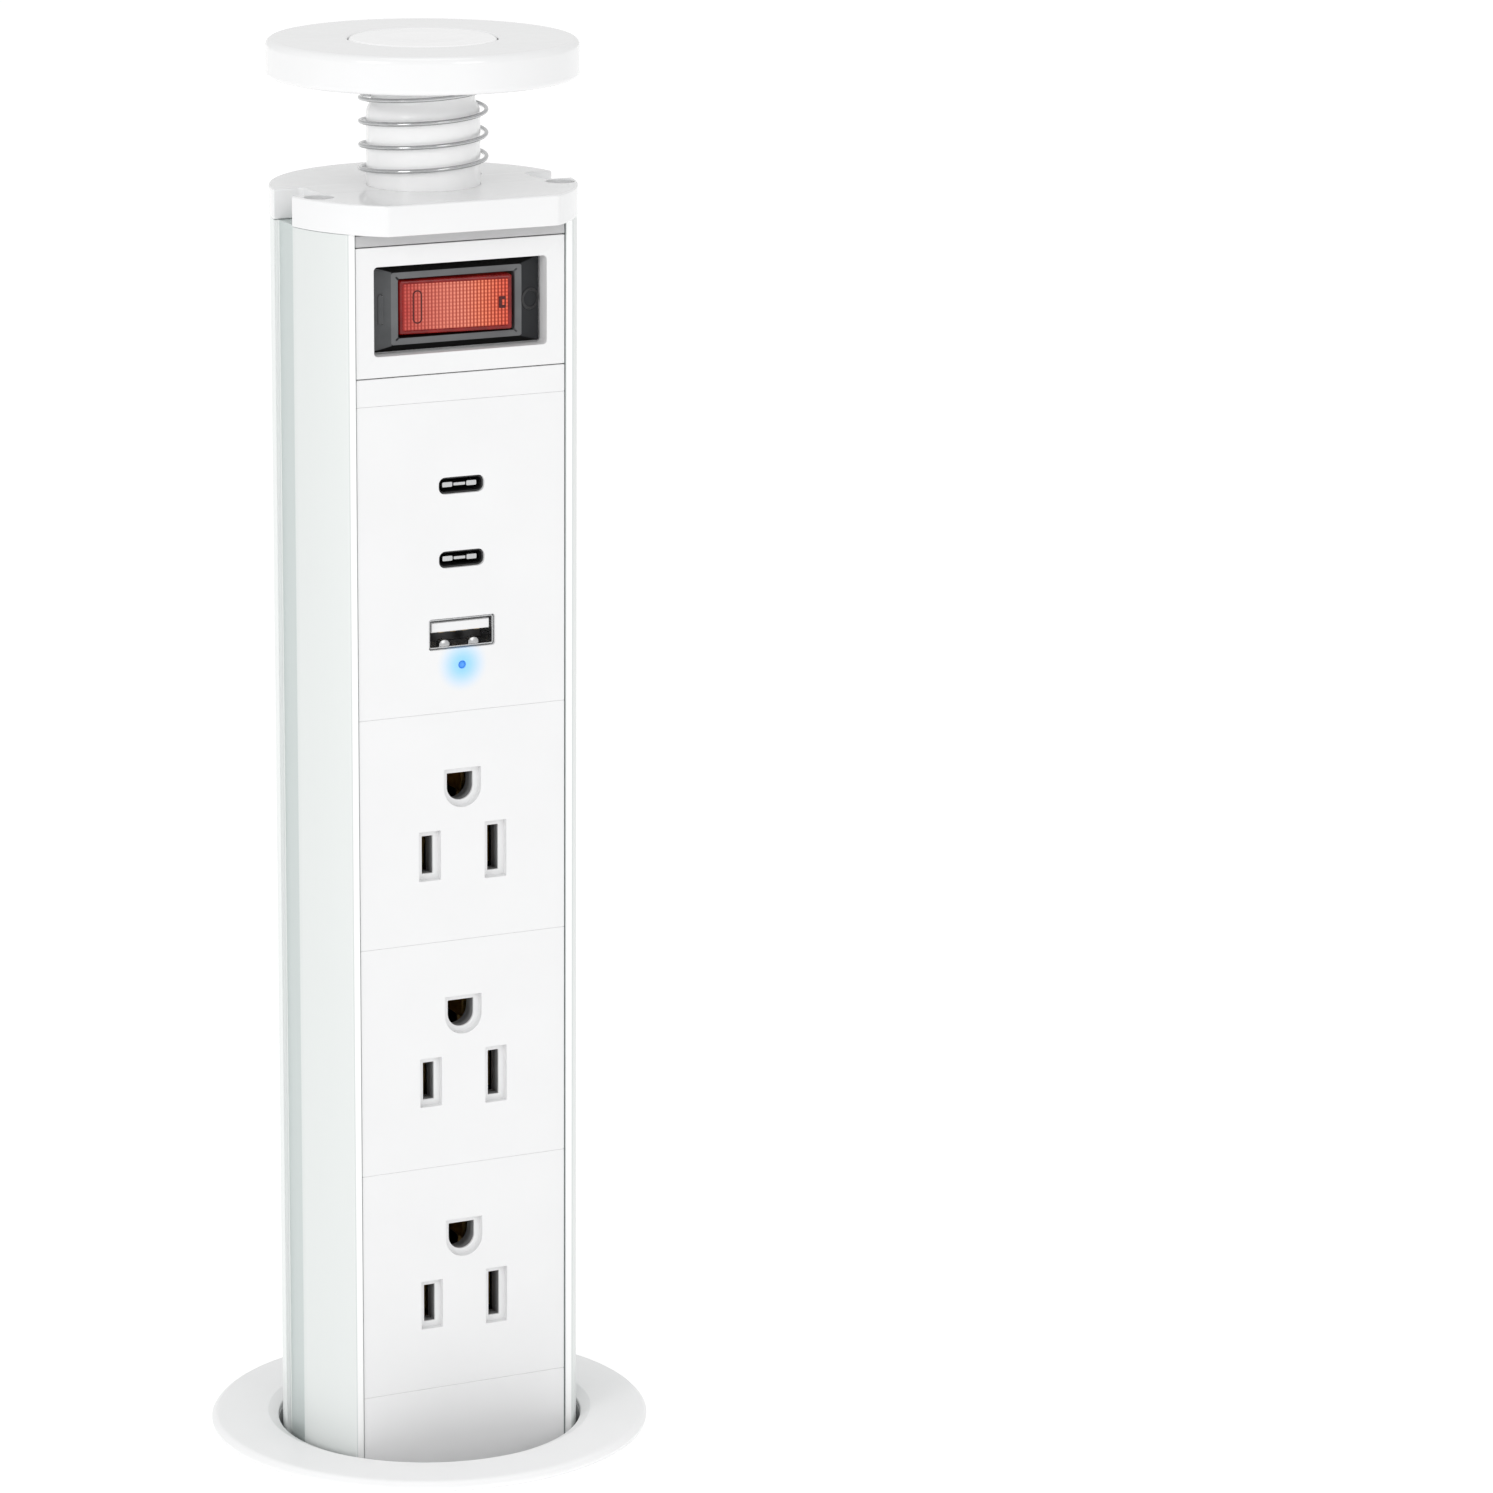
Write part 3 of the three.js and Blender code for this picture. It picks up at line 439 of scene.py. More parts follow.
def bezel_painted_shade():
    """Black plastic with painted light and shade: its colour follows the way each face points, so the flat
    lip and left slope are painted a paler grey than its other slopes.
    """
    nodes = Nodes("bezel_painted_shade")
    x, y, _ = nodes.parts(nodes.normal)
    leftward = nodes.between(x, 0.0, 1.0, -0.06, -0.18, smooth=True)
    rightward = nodes.between(x, 0.0, 1.0, 0.06, 0.18, smooth=True)
    forward = nodes.between(y, 0.0, 1.0, -0.985, -0.997, smooth=True)
    cloud = nodes.noise(4e-3, detail=4)
    dark = nodes.ramp(cloud, (0.3, (0.002, 0.002, 0.002)), (0.7, (0.004, 0.004, 0.004)))
    grey = nodes.ramp(cloud, (0.3, (0.080, 0.083, 0.086)), (0.7, (0.100, 0.103, 0.106)))
    lip = nodes.ramp(cloud, (0.3, (0.135, 0.138, 0.142)), (0.7, (0.155, 0.158, 0.162)))
    # Painted shade by facing: near black on the top and bottom slopes, dark grey on the right slope, paler
    # grey on the left slope and palest on the flat lip.
    slopes = nodes.mix(leftward, nodes.mix(rightward, dark, (0.030, 0.031, 0.033)), grey)
    nodes.paint(base_color=nodes.mix(forward, slopes, lip), specular_ior_level=0.08)
    nodes.paint(roughness=nodes.between(nodes.noise(2e-3), 0.42, 0.58))
    nodes.bump(nodes.noise(0.2e-3, detail=2), 0.5, 5e-6)


def anodised():
    """Clear-anodised tube, drawn along its length, with painted reflection and shade: its front faces are
    painted pale, its flanks and grooves a cool grey.
    """
    nodes = Nodes("tower_aluminium")
    # Painted reflection and shade by facing along Y: pale facing front, a thin darker line, grey on the
    # flanks, darker in the grooves, a little paler again facing back.
    facing = nodes.between(nodes.parts(nodes.normal)[1], 0.0, 1.0, -1.0, 1.0)
    pale, line = (0.90, 0.905, 0.90), (0.56, 0.59, 0.585)
    flank, groove = (0.715, 0.74, 0.73), (0.55, 0.60, 0.59)
    painted_sheen = nodes.ramp(
        facing,
        (0.0, pale),
        (0.004, pale),
        (0.03, line),
        (0.07, flank),
        (0.40, flank),
        (0.49, groove),
        (0.51, groove),
        (0.56, shade(flank, 1.12)),
        (1.0, shade(flank, 1.05)),
    )
    marks = nodes.noise(0.3e-3, where=nodes.stretched((1, 1, 0.01)))
    nodes.paint(base_color=painted_sheen, roughness=nodes.between(marks, 0.3, 0.5), metallic=0.35)
    nodes.bump(marks, 0.4, 1.5e-6)


def red_lens(middle, width, cell):
    """The rocker's tinted lens: a glow behind its right half, broken up by a fine grid of prisms."""
    nodes = Nodes("red_lens")
    across, _, up = nodes.parts(nodes.place)
    rise = nodes.math("SUBTRACT", up, middle)
    lines = []
    for value, floor in ((across, 0.0), (rise, 0.45)):
        wave = nodes.math("PINGPONG", nodes.math("ADD", value, 0.1), cell / 2)
        lines.append(nodes.between(wave, floor, 1.0, cell * 0.05, cell * 0.4, smooth=True))
    grid = nodes.math("MULTIPLY", *lines)
    right = nodes.between(across, 0.0, 1.0, -width * 0.5, width * 0.5)
    cloud = nodes.between(nodes.noise(2.5e-3, detail=2), -0.06, 0.06)
    level = nodes.math("ADD", right, cloud)
    glow = nodes.ramp(
        level,
        (0.0, (0.42, 0.06, 0.05)),
        (0.25, (0.66, 0.21, 0.15)),
        (0.55, (0.80, 0.31, 0.21)),
        (0.75, (0.88, 0.28, 0.15)),
        (1.0, (0.80, 0.12, 0.06)),
    )
    dark = nodes.ramp(
        level,
        (0.0, (0.22, 0.02, 0.018)),
        (0.4, (0.36, 0.08, 0.055)),
        (0.75, (0.28, 0.035, 0.012)),
        (1.0, (0.18, 0.010, 0.005)),
    )
    nodes.paint(base_color=nodes.mix(grid, (0.10, 0.006, 0.005), (0.20, 0.03, 0.025)))
    nodes.paint(emission_color=nodes.mix(grid, dark, glow), emission_strength=0.95)
    nodes.paint(roughness=nodes.between(nodes.noise(0.6e-3), 0.12, 0.25))
    nodes.paint(coat_weight=0.05, coat_roughness=0.05, specular_ior_level=0.15)
    nodes.bump(grid, 0.35, 40e-6)


def red_plastic(name, low, high, strength):
    """Plain red plastic of the rocker's sides, rim and marks, lit only a little from inside."""
    nodes = Nodes(name)
    cloud = nodes.noise(3e-3)
    nodes.paint(base_color=nodes.ramp(cloud, (0.3, low), (0.7, high)))
    nodes.paint(emission_color=nodes.ramp(cloud, (0.3, shade(low, 0.8)), (0.7, high)))
    nodes.paint(emission_strength=strength, roughness=nodes.between(nodes.noise(1e-3), 0.1, 0.25))
    nodes.paint(coat_weight=0.2, coat_roughness=0.05, specular_ior_level=0.25)


def haloed(centre, reach):
    """White panel plastic, tinted where the blue light spreads through it."""
    nodes = Nodes("white_satin_halo")
    glow = nodes.between(nodes.distance(centre), 1.0, 0.0, reach * 0.1, reach, smooth=True)
    nodes.paint(base_color=nodes.mix(glow, nodes.clouded(WHITE, 0.02), (0.28, 0.56, 0.82)))
    nodes.paint(emission_color=nodes.ramp(glow, (0.0, (0, 0, 0)), (1.0, (0.05, 0.20, 0.42))))
    nodes.paint(emission_strength=0.5)
    nodes.paint(roughness=nodes.between(nodes.noise(2.5e-3, detail=5), 0.34, 0.52))
    nodes.bump(nodes.noise(0.25e-3, detail=2), 0.5, 6e-6)


def glowing(name, inner, outer, centre, reach, strength):
    """Clear plastic lit from inside, brightest at its centre."""
    nodes = Nodes(name)
    away = nodes.between(nodes.distance(centre), 0.0, 1.0, 0.0, reach)
    nodes.paint(emission_color=nodes.ramp(away, (0.0, inner), (1.0, outer)), emission_strength=strength)
    nodes.paint(base_color=nodes.ramp(away, (0.0, shade(inner, 0.7)), (1.0, shade(outer, 0.7))))
    nodes.paint(roughness=nodes.between(nodes.noise(0.5e-3), 0.1, 0.25))


# ---------------- collar in the desk
FLANGE_RADIUS = span("desk_flange", X)[1]
FLANGE_TOP = span("desk_flange", Z)[1]
SLEEVE_OUTER = span("threaded_sleeve", X)[1]
SLEEVE_BOTTOM, SLEEVE_TOP = span("threaded_sleeve", Z)
HOLE = 27.7  # radius of the collar's bore
THREAD = {"pitch": 4.0, "depth": 0.6, "top": -5.0}
GASKET = {"inner": 31.9, "outer": 37.3, "height": span("desk_gasket", Z)[1]}


def flange_ring():
    clear = 0.3
    inner, outer, roof = GASKET["inner"] - clear, GASKET["outer"] + clear, GASKET["height"] + clear
    profile = rounded([
        (HOLE, 0, 0.2),
        (inner, 0, 0.1),
        (inner, roof),
        (outer, roof),
        (outer, 0, 0.1),
        (FLANGE_RADIUS - 0.3, 0, 0.2),
        (FLANGE_RADIUS, 0.8, 0.4),
        (FLANGE_RADIUS - 0.9, FLANGE_TOP, 1.1),
        (HOLE + 1.9, FLANGE_TOP, 0.7),
        (HOLE, FLANGE_TOP / 2, 0.35),
    ])
    return turned(profile, 192)


def threaded_sleeve():
    root = SLEEVE_OUTER - THREAD["depth"]
    foot = [(HOLE, SLEEVE_BOTTOM, 0.3), (root, SLEEVE_BOTTOM, 0.5)]
    tube = turned(rounded([*foot, (root, SLEEVE_TOP), (HOLE, SLEEVE_TOP)]))
    low, high = SLEEVE_BOTTOM + 1.4, THREAD["top"]
    turns = (high - low) / THREAD["pitch"]
    ridge = [(-0.2, -1.15), (0.25, -1.05), (0.6, -0.65), (0.6, 0.65), (0.25, 1.05), (-0.2, 1.15)]
    return joined(tube, swept(helix(root, low, high, turns), ridge, 0.15, 6))


def gasket_ring():
    inner, outer, height = GASKET["inner"], GASKET["outer"], GASKET["height"]
    middle = (inner + outer) / 2
    groove = 0.25
    return turned(rounded([
        (inner, 0, 0.15),
        (middle - 1, 0, 0.15),
        (middle - 0.5, groove, 0.2),
        (middle + 0.5, groove, 0.2),
        (middle + 1, 0, 0.15),
        (outer, 0, 0.15),
        (outer, height, 0.2),
        (inner, height, 0.2),
    ]))


def clamp_nut():
    low, high = span("clamp_nut", Z)
    grips = wavy(36.0, 0.8, waves=16, steps=16)
    return slab([grips, circle(SLEEVE_OUTER + 0.4, steps=128)], low, high, edge=0.9, steps=3)


def clamp_washer():
    low, high = span("clamp_washer", Z)
    outer = span("clamp_washer", X)[1]
    inner = SLEEVE_OUTER + 0.4
    return turned(rounded([(inner, low, 0.3), (outer, low, 0.4), (outer, high, 0.6), (inner, high, 0.3)]))


piece("flange_ring", flange_ring(), "collar_white", "desk_flange", body="collar")
piece("collar_sleeve", threaded_sleeve(), "collar_white", "threaded_sleeve", body="collar")
piece("gasket_ring", gasket_ring(), "foam_rubber", "desk_gasket", body="collar")
piece("washer_ring", clamp_washer(), "grey_plastic", "clamp_washer", body="clamp_washer")
piece("nut_ring", clamp_nut(), "white_satin", "clamp_nut", body="clamp_nut")

# ---------------- tower body
TOWER_RADIUS = span("tower_extrusion", X)[1]
TOWER_FACE = span("tower_extrusion", Y)[0]
TOWER_BOTTOM, TOWER_TOP = span("tower_extrusion", Z)
PLATE_BOTTOM, PLATE_TOP = span("top_plate", Z)
WALL = 1.6  # of the tube
GROOVE = {"half": 4.1, "floor": 25.7, "inside": 20.8, "inside_half": 5.7}
PORT = {"x": 22.9, "y": -7.4, "radius": 2.7, "hole": 1.35}  # for a screw, on each side of the tube
PANEL_HALF = 19.8
PANEL_FRONT, PANEL_BACK = span("switch_panel", Y)


def extrusion():
    """The tube: round behind, flat and open in front, with a guide groove down each side."""
    r, face = TOWER_RADIUS, TOWER_FACE
    inner = r - WALL
    gap = 0.17
    edge = PANEL_HALF + gap
    ledge_front, ledge_back, ledge = PANEL_FRONT + 2.3, PANEL_FRONT + 3.8, 18.2
    groove_angle, groove_inside = angle_at(GROOVE["half"], r), angle_at(GROOVE["inside_half"], inner)
    corner_angle, rail_angle = angle_at(face, r), angle_at(ledge_back, inner)

    def half(side):
        """One side from its front edge back to its groove and on to the tower's back, outside then inside."""
        outside = [(edge, face, 0.15), (polar(r, corner_angle)[0], face, 0.8)]
        outside += arc((0, 0), r, corner_angle + 1.6, -groove_angle - 0.5, 20)
        groove_mouth = polar(r, groove_angle)[0]
        outside += [(groove_mouth, -GROOVE["half"], 0.25), (GROOVE["floor"], -GROOVE["half"], 0.3)]
        outside += [(GROOVE["floor"], GROOVE["half"], 0.3), (groove_mouth, GROOVE["half"], 0.25)]
        outside += arc((0, 0), r, groove_angle + 0.5, 89, 44)
        step, wide = GROOVE["inside"], GROOVE["inside_half"]
        inside = arc((0, 0), inner, 89, groove_inside + 0.5, 40)
        inside += [(step, wide, 0.3), (step, -wide, 0.3)]
        inside += arc((0, 0), inner, -groove_inside - 0.5, rail_angle + 0.5, 8)
        inside += [polar(inner, rail_angle), (ledge, ledge_back, 0.2)]
        inside += [(ledge, ledge_front, 0.2), (edge, ledge_front, 0.1)]
        mirror = lambda points: [(side * p[0], *p[1:]) for p in points]
        return mirror(outside), mirror(inside)

    right_outside, right_inside = half(1)
    left_outside, left_inside = half(-1)
    outline = rounded(right_outside + left_outside[::-1] + left_inside[::-1] + right_inside, steps=4)
    tube = slab([outline], TOWER_BOTTOM, PLATE_BOTTOM - 0.03, edge=0.05)
    bosses, holes = [], []
    for side in (-1, 1):
        centre = (side * PORT["x"], PORT["y"])
        bosses.append(slab([circle(PORT["radius"], centre, 32)], TOWER_BOTTOM + 0.06, TOWER_TOP))
        holes.append(slab([circle(PORT["hole"], centre, 24)], TOWER_BOTTOM - 1, TOWER_TOP + 1))
    return combined(combined(tube, "UNION", *bosses), "DIFFERENCE", *holes)


PLATE_RADIUS = span("top_plate", X)[1]
PLATE_FLAT = -span("top_plate", Y)[0]
NOTCH = {"floor": 21.2, "half": 4.1, "draft": 0.04}  # its mouth is wider than its floor
SLEEVE_RADIUS = 10.0  # of the knob's straight part
STUB_RADIUS = 6.2  # of the knob's end inside the plate
POCKET_FLOOR = PLATE_TOP - 2.4
SCREW_POCKET, SCREW_HOLE = 2.6, 1.7  # radii


def pit(radius, floor, rim, through, x=0.0, y=0.0):
    """The shape cut out of the plate for a round pocket with a softened rim and a hole through its floor."""
    top = PLATE_TOP
    flare = arc((radius + rim, top - rim), rim, 180, 90, 4)
    hole = [(0, PLATE_BOTTOM - 1), (through, PLATE_BOTTOM - 1), (through, floor)]
    profile = [*hole, (radius, floor), *flare, (radius + rim, top + 1), (0, top + 1)]
    return moved(turned(profile, 64), x, y)


def top_plate():
    r, flat = PLATE_RADIUS, PLATE_FLAT
    flat_angle, notch_angle = angle_at(flat, r), angle_at(NOTCH["half"], r)
    notch_x = polar(r, notch_angle)[0]
    right = [(polar(r, flat_angle)[0], -flat, 1.2)]
    right += arc((0, 0), r, -flat_angle + 3, -notch_angle - 2, 20)
    mouth, root = NOTCH["half"] + NOTCH["draft"], NOTCH["half"] - NOTCH["draft"]
    right += [(notch_x, -mouth, 0.8), (NOTCH["floor"], -root, 1.0)]
    right += [(NOTCH["floor"], root, 1.0), (notch_x, mouth, 0.8)]
    right += arc((0, 0), r, notch_angle + 2, 89, 44)
    left = [(-p[0], *p[1:]) for p in right[::-1]]
    plate = slab([rounded(right + left, steps=5)], PLATE_BOTTOM, PLATE_TOP, edge=0.35, steps=3)
    pockets = [pit(SLEEVE_RADIUS + 0.04, POCKET_FLOOR, 0.05, STUB_RADIUS + 0.3)]
    for x in (-PORT["x"], PORT["x"]):
        pockets.append(pit(SCREW_POCKET, PLATE_TOP - 3.0, 0.15, SCREW_HOLE, x, PORT["y"]))
    return combined(plate, "DIFFERENCE", *pockets)


def pan_screw(side, face, direction):
    """A screw with a domed head and a cross recess; direction is 1 when the head looks up."""
    radius, height, length, shank = 2.2, 1.6, 13.0, 1.0
    dome = bezier((radius, -height * 0.75), (radius, -0.35), (radius * 0.7, 0), (0, 0), 8)
    tip = -height - length
    profile = [(0, tip), (shank, tip + 1), (shank, -height), (radius, -height), *dome]
    body = turned(profile, 32)
    slots = [slab([rectangle(2.4, 0.5)], -0.9, 1), slab([rectangle(0.5, 2.4)], -0.9, 1)]
    screw = combined(body, "DIFFERENCE", *slots)
    if direction < 0:
        screw.transform(Matrix.Rotation(math.pi, 4, "X"))
    return moved(screw, side * PORT["x"], PORT["y"], face)


KNOB_BOTTOM, KNOB_TOP = span("pull_knob", Z)
KNOB_RIM = span("pull_knob", X)[1]
LID_RADIUS = span("lid_disc", X)[1]
LID_BOTTOM, LID_TOP = span("lid_disc", Z)


def pull_knob():
    """A spool with a flared rim, on a straight sleeve that stands in the plate's pocket."""
    waist = 9.05
    bore = 4.2
    foot = POCKET_FLOOR + 0.3
    neck = bezier((SLEEVE_RADIUS, 240.6), (SLEEVE_RADIUS, 242.3), (waist, 242.3), (waist, 244.0), 8)
    flare = bezier((waist, 247.4), (waist, 250.4), (10.4, 252.2), (KNOB_RIM, 252.4), 12)
    rim = arc((KNOB_RIM - 0.7, KNOB_TOP - 0.7), 0.7, 0, 90, 6)
    dish = bezier((8.0, KNOB_TOP), (6.5, KNOB_TOP), (5.0, KNOB_TOP - 0.22), (0, KNOB_TOP - 0.25), 8)
    hollow = [(0, KNOB_TOP - 2.4), (bore, KNOB_TOP - 4), (bore, KNOB_BOTTOM)]
    stub = [(STUB_RADIUS, KNOB_BOTTOM), (STUB_RADIUS, foot)]
    return turned([*hollow, *stub, (SLEEVE_RADIUS, foot), *neck, *flare, *rim, *dish], 128)


def lid_disc():
    """A thick disc with softened edges and a dish round the knob's rim."""
    hole, dish = 10.35, 13.15
    top_round, bottom_round, lip = 1.3, 0.9, 0.5
    profile = [(hole, LID_BOTTOM)]
    profile += arc((LID_RADIUS - bottom_round, LID_BOTTOM + bottom_round), bottom_round, -90, 0, 8)
    profile += arc((LID_RADIUS - top_round, LID_TOP - top_round), top_round, 0, 90, 10)
    profile += arc((dish + lip, LID_TOP - lip), lip, 90, 180, 5)
    shoulder, throat = (dish - 1.2, LID_TOP - 2.2), (hole + 0.1, LID_TOP - 3.1)
    profile += bezier((dish, LID_TOP - 2.0), shoulder, throat, (hole, LID_TOP - 4.7))
    return turned(profile, 192)


SPRING_LOW, SPRING_HIGH = span("lid_spring", Z)
WIRE = 0.38  # radius


def lid_spring():
    radius, turns = 11.05, 4.17
    low, high = SPRING_LOW + WIRE, SPRING_HIGH - WIRE
    path = helix(radius, low, high, turns, steps=80)
    return swept(path, circle(WIRE, steps=14), 0.35, 300)


anodised()
piece("tower_tube", extrusion(), "tower_aluminium", "tower_extrusion")
piece("plate", top_plate(), "white_gloss", "top_plate")
for side, word in ((-1, "left"), (1, "right")):
    screw = pan_screw(side, PLATE_TOP - 1.3, 1)
    piece(f"plate_screw_{word}", screw, "spring_steel", f"top_plate_screw_{word}")
piece("knob", pull_knob(), "white_gloss", "pull_knob", look="knob_white_painted_light")
piece("lid", lid_disc(), "white_gloss", "lid_disc", body="lid")
coil = piece("coil_spring", lid_spring(), "spring_steel", "lid_spring")
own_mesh(coil)

# ---------------- panels
NECK_HALF, RAIL_HALF = 17.9, 19.6  # half widths behind a panel's front plate
RAIL_FRONT = -11.9
DARK_SEAM, FAINT_SEAM = 0.2, 0.02  # gaps between two panels
PANELS = ["top_filler_panel", "switch_panel", "spacer_panel", "usb_panel", "bottom_filler_panel"]
EDGE = 0.07  # softening of a panel's front edges
CLEAR = 0.15  # half of the clearance between two CAD panels


def panel_reach(node):
    """The bottom and top of a panel, its clearances narrowed to the seams that show."""
    low, high = span(node, Z)
    dark_below = node in ("top_filler_panel", "switch_panel")
    dark_above = node in ("switch_panel", "spacer_panel")
    if node != "bottom_filler_panel":
        low -= CLEAR - (DARK_SEAM if dark_below else FAINT_SEAM) / 2
    if node != "top_filler_panel":
        high += CLEAR - (DARK_SEAM if dark_above else FAINT_SEAM) / 2
    return low, high


def panel_outline(node, half, trim=0.06, corner=0.0):
    low, high = panel_reach(node)
    return rectangle(2 * half, high - low - trim, corner, (0, (low + high) / 2), 3)


def front_plate(node, holes=(), back=PANEL_FRONT + 2):
    """The plate that shows, with softened edges."""
    outline = panel_outline(node, PANEL_HALF, 0, 0.15)
    return slab([outline, *holes], PANEL_FRONT, back, edge=EDGE, axis=Y, steps=2)


def neck(node, holes=(), front=PANEL_FRONT + 1.5, back=PANEL_BACK):
    """The narrower part behind the front plate, which passes between the tube's front edges."""
    return slab([panel_outline(node, NECK_HALF), *holes], front, back, axis=Y)


def rails(node, holes=()):
    """The edges that run in the tube's slots."""
    return slab([panel_outline(node, RAIL_HALF), *holes], RAIL_FRONT, PANEL_BACK - 0.01, axis=Y)


def plain_panel(node):
    return combined(front_plate(node), "UNION", neck(node), rails(node))


SWITCH_HEIGHT = sum(span("switch_housing", Z)) / 2
SWITCH_RECESS = (32.8, 15.7)
SWITCH_OPENING = (28, 13)
RECESS_FLOOR = PANEL_FRONT + 3.6


def switch_panel(node):
    recess = [rectangle(*SWITCH_RECESS, 0.7, (0, SWITCH_HEIGHT))]
    opening = [rectangle(*SWITCH_OPENING, 0.3, (0, SWITCH_HEIGHT))]
    walls = neck(node, recess, back=RECESS_FLOOR)
    floor = neck(node, opening, front=RECESS_FLOOR - 0.01)
    return combined(front_plate(node, recess), "UNION", walls, floor, rails(node, opening))


USB_C_HEIGHTS = [sum(span(f"usb_c_shell_{i}", Z)) / 2 for i in (1, 2)]
USB_A_HEIGHT = sum(span("usb_a_shell", Z)) / 2
USB_C_SIZE = (8.6, 2.9)
USB_C_CORNER = 1.15
USB_A_SIZE = (12.5, 5.4)
LED_HEIGHT = sum(span("led_light_pipe", Z)) / 2
LED_RADIUS = span("led_light_pipe", X)[1]
LED_TIP = 0.68  # radius of the light pipe's tip, in the panel


def usb_panel(node):
    holes = []
    for height in USB_C_HEIGHTS:
        holes.append(rectangle(USB_C_SIZE[0] + 0.1, USB_C_SIZE[1] + 0.1, USB_C_CORNER + 0.05, (0, height)))
    holes.append(rectangle(USB_A_SIZE[0] + 0.2, USB_A_SIZE[1] + 0.2, 0.45, (0, USB_A_HEIGHT)))
    holes.append(circle(LED_TIP + 0.05, (0, LED_HEIGHT), 32))
    return combined(front_plate(node, holes), "UNION", neck(node, holes), rails(node, holes))


OUTLET = {
    "ground_drop": 13.95,  # from the panel's top to the ground hole
    "slot_drop": 25.85,  # and to the middle of the slots
    "half_spacing": 6.35,
    "slot": 2.1,
    "live": 6.9,
    "neutral": 8.3,
    "ground": 2.5,
    "border": 1.05,
    "recess": 1.3,
    "lip": 0.45,
}
CARRIER = {"half": 16.5, "inset": 1.2}  # the dark block behind an outlet's face


def ground_outline(radius, centre):
    """A hole with a flat top and a round bottom."""
    x, y = centre
    corners = [(x + radius, y + radius, 0.12), (x - radius, y + radius, 0.12)]
    return rounded(arc(centre, radius, 180, 360, 24) + corners, steps=3)


def outlet_outlines(node, grow):
    """The ground hole, the live slot and the neutral slot, each grown evenly."""
    top = span(node, Z)[1] + CLEAR
    blades, x = top - OUTLET["slot_drop"], OUTLET["half_spacing"]
    corner = 0.08 + grow * 0.05
    width = OUTLET["slot"] + 2 * grow
    return [
        ground_outline(OUTLET["ground"] + grow, (0, top - OUTLET["ground_drop"])),
        rectangle(width, OUTLET["live"] + 2 * grow, corner, (-x, blades), 3),
        rectangle(width, OUTLET["neutral"] + 2 * grow, corner, (x, blades), 3),
    ]


def carrier_outline(node, grow):
    low, high = panel_reach(node)
    width, height = 2 * CARRIER["half"], high - low - 2 * CARRIER["inset"]
    return rectangle(width + 2 * grow, height + 2 * grow, 0.3, (0, (low + high) / 2))


def outlet_panel(node):
    """The white part of an outlet: slots with a stepped border, and a rim that holds the dark carrier."""
    floor = PANEL_FRONT + OUTLET["recess"]
    deep = floor + OUTLET["lip"]
    plate = front_plate(node, outlet_outlines(node, OUTLET["border"]), floor + 0.2)
    face = panel_outline(node, NECK_HALF - 0.15, 0.3)
    lips = slab([face, *outlet_outlines(node, 0)], floor, deep, edge=0.05, axis=Y)
    back = neck(node, [carrier_outline(node, 0.05)], deep - 0.1)
    return combined(plate, "UNION", lips, back, rails(node, [carrier_outline(node, 0.11)]))


def outlet_carrier(node):
    """The dark block behind an outlet's face, open behind the ground hole and the slots."""
    front = PANEL_FRONT + OUTLET["recess"] + OUTLET["lip"] + 0.02
    snug = slab([carrier_outline(node, -0.1), *outlet_outlines(node, 0.02)], front, front + 1.2, axis=Y)
    wide = slab([carrier_outline(node, 0), *outlet_outlines(node, 0.5)], front + 1.19, PANEL_BACK, axis=Y)
    return combined(snug, "UNION", wide)


led_centre = Vector((0, PANEL_FRONT * MM, LED_HEIGHT * MM))
haloed(led_centre, 5.2e-3)
panel_shapes = {"switch_panel": switch_panel, "usb_panel": usb_panel}
# The top filler panel takes its painted shadow, and the USB panel its blue halo.
panel_looks = {"top_filler_panel": "filler_painted_shade", "usb_panel": "white_satin_halo"}
for node in PANELS:
    shape = panel_shapes.get(node, plain_panel)(node)
    piece(f"{node}_front", shape, "white_satin", node, look=panel_looks.get(node))

outlets = [f"outlet_panel_{i}" for i in (1, 2, 3)]
outlet_front, carrier = outlet_panel(outlets[0]), outlet_carrier(outlets[0])
for node in outlets:
    drop = span(outlets[0], Z)[0] - span(node, Z)[0]
    piece(f"{node}_front", moved(outlet_front.copy(), z=-drop), "white_satin", node)
    piece(f"{node}_carrier", moved(carrier.copy(), z=-drop), "black_plastic", look="carrier_grey")

# ---------------- switch
BEZEL_FRONT = PANEL_FRONT + 1.9
BEZEL = (32.2, 15.1)
BEZEL_FLAT = (24.6, 12.6)
WINDOW = (22.0, 10.2)
SWITCH_BODY = (27.4, 12.4)
SWITCH_BACK = span("switch_housing", Y)[1]


def switch_bezel():
    """A frame whose sides slope up to a flat lip round the window, on a box that is open in front."""
    at = lambda size, radius: rectangle(*size, radius, (0, SWITCH_HEIGHT))
    grow = lambda size, by: (size[0] + 2 * by, size[1] + 2 * by)
    seat = RECESS_FLOOR - 0.1
    return lofted([
        (at(SWITCH_BODY, 0.5), SWITCH_BACK),
        (at(SWITCH_BODY, 0.5), seat),
        (at(BEZEL, 0.4), seat),
        (at(BEZEL, 0.4), seat - 0.55),
        (at(grow(BEZEL, -0.12), 0.35), seat - 0.72),
        (at(grow(BEZEL_FLAT, 0.18), 0.3), BEZEL_FRONT + 0.05),
        (at(grow(BEZEL_FLAT, 0.02), 0.3), BEZEL_FRONT),
        (at(grow(WINDOW, 0.12), 0.3), BEZEL_FRONT),
        (at(grow(WINDOW, 0.02), 0.3), BEZEL_FRONT + 0.1),
        (at(WINDOW, 0.3), BEZEL_FRONT + 0.4),
        (at(WINDOW, 0.3), SWITCH_BACK - 1.5),
    ])


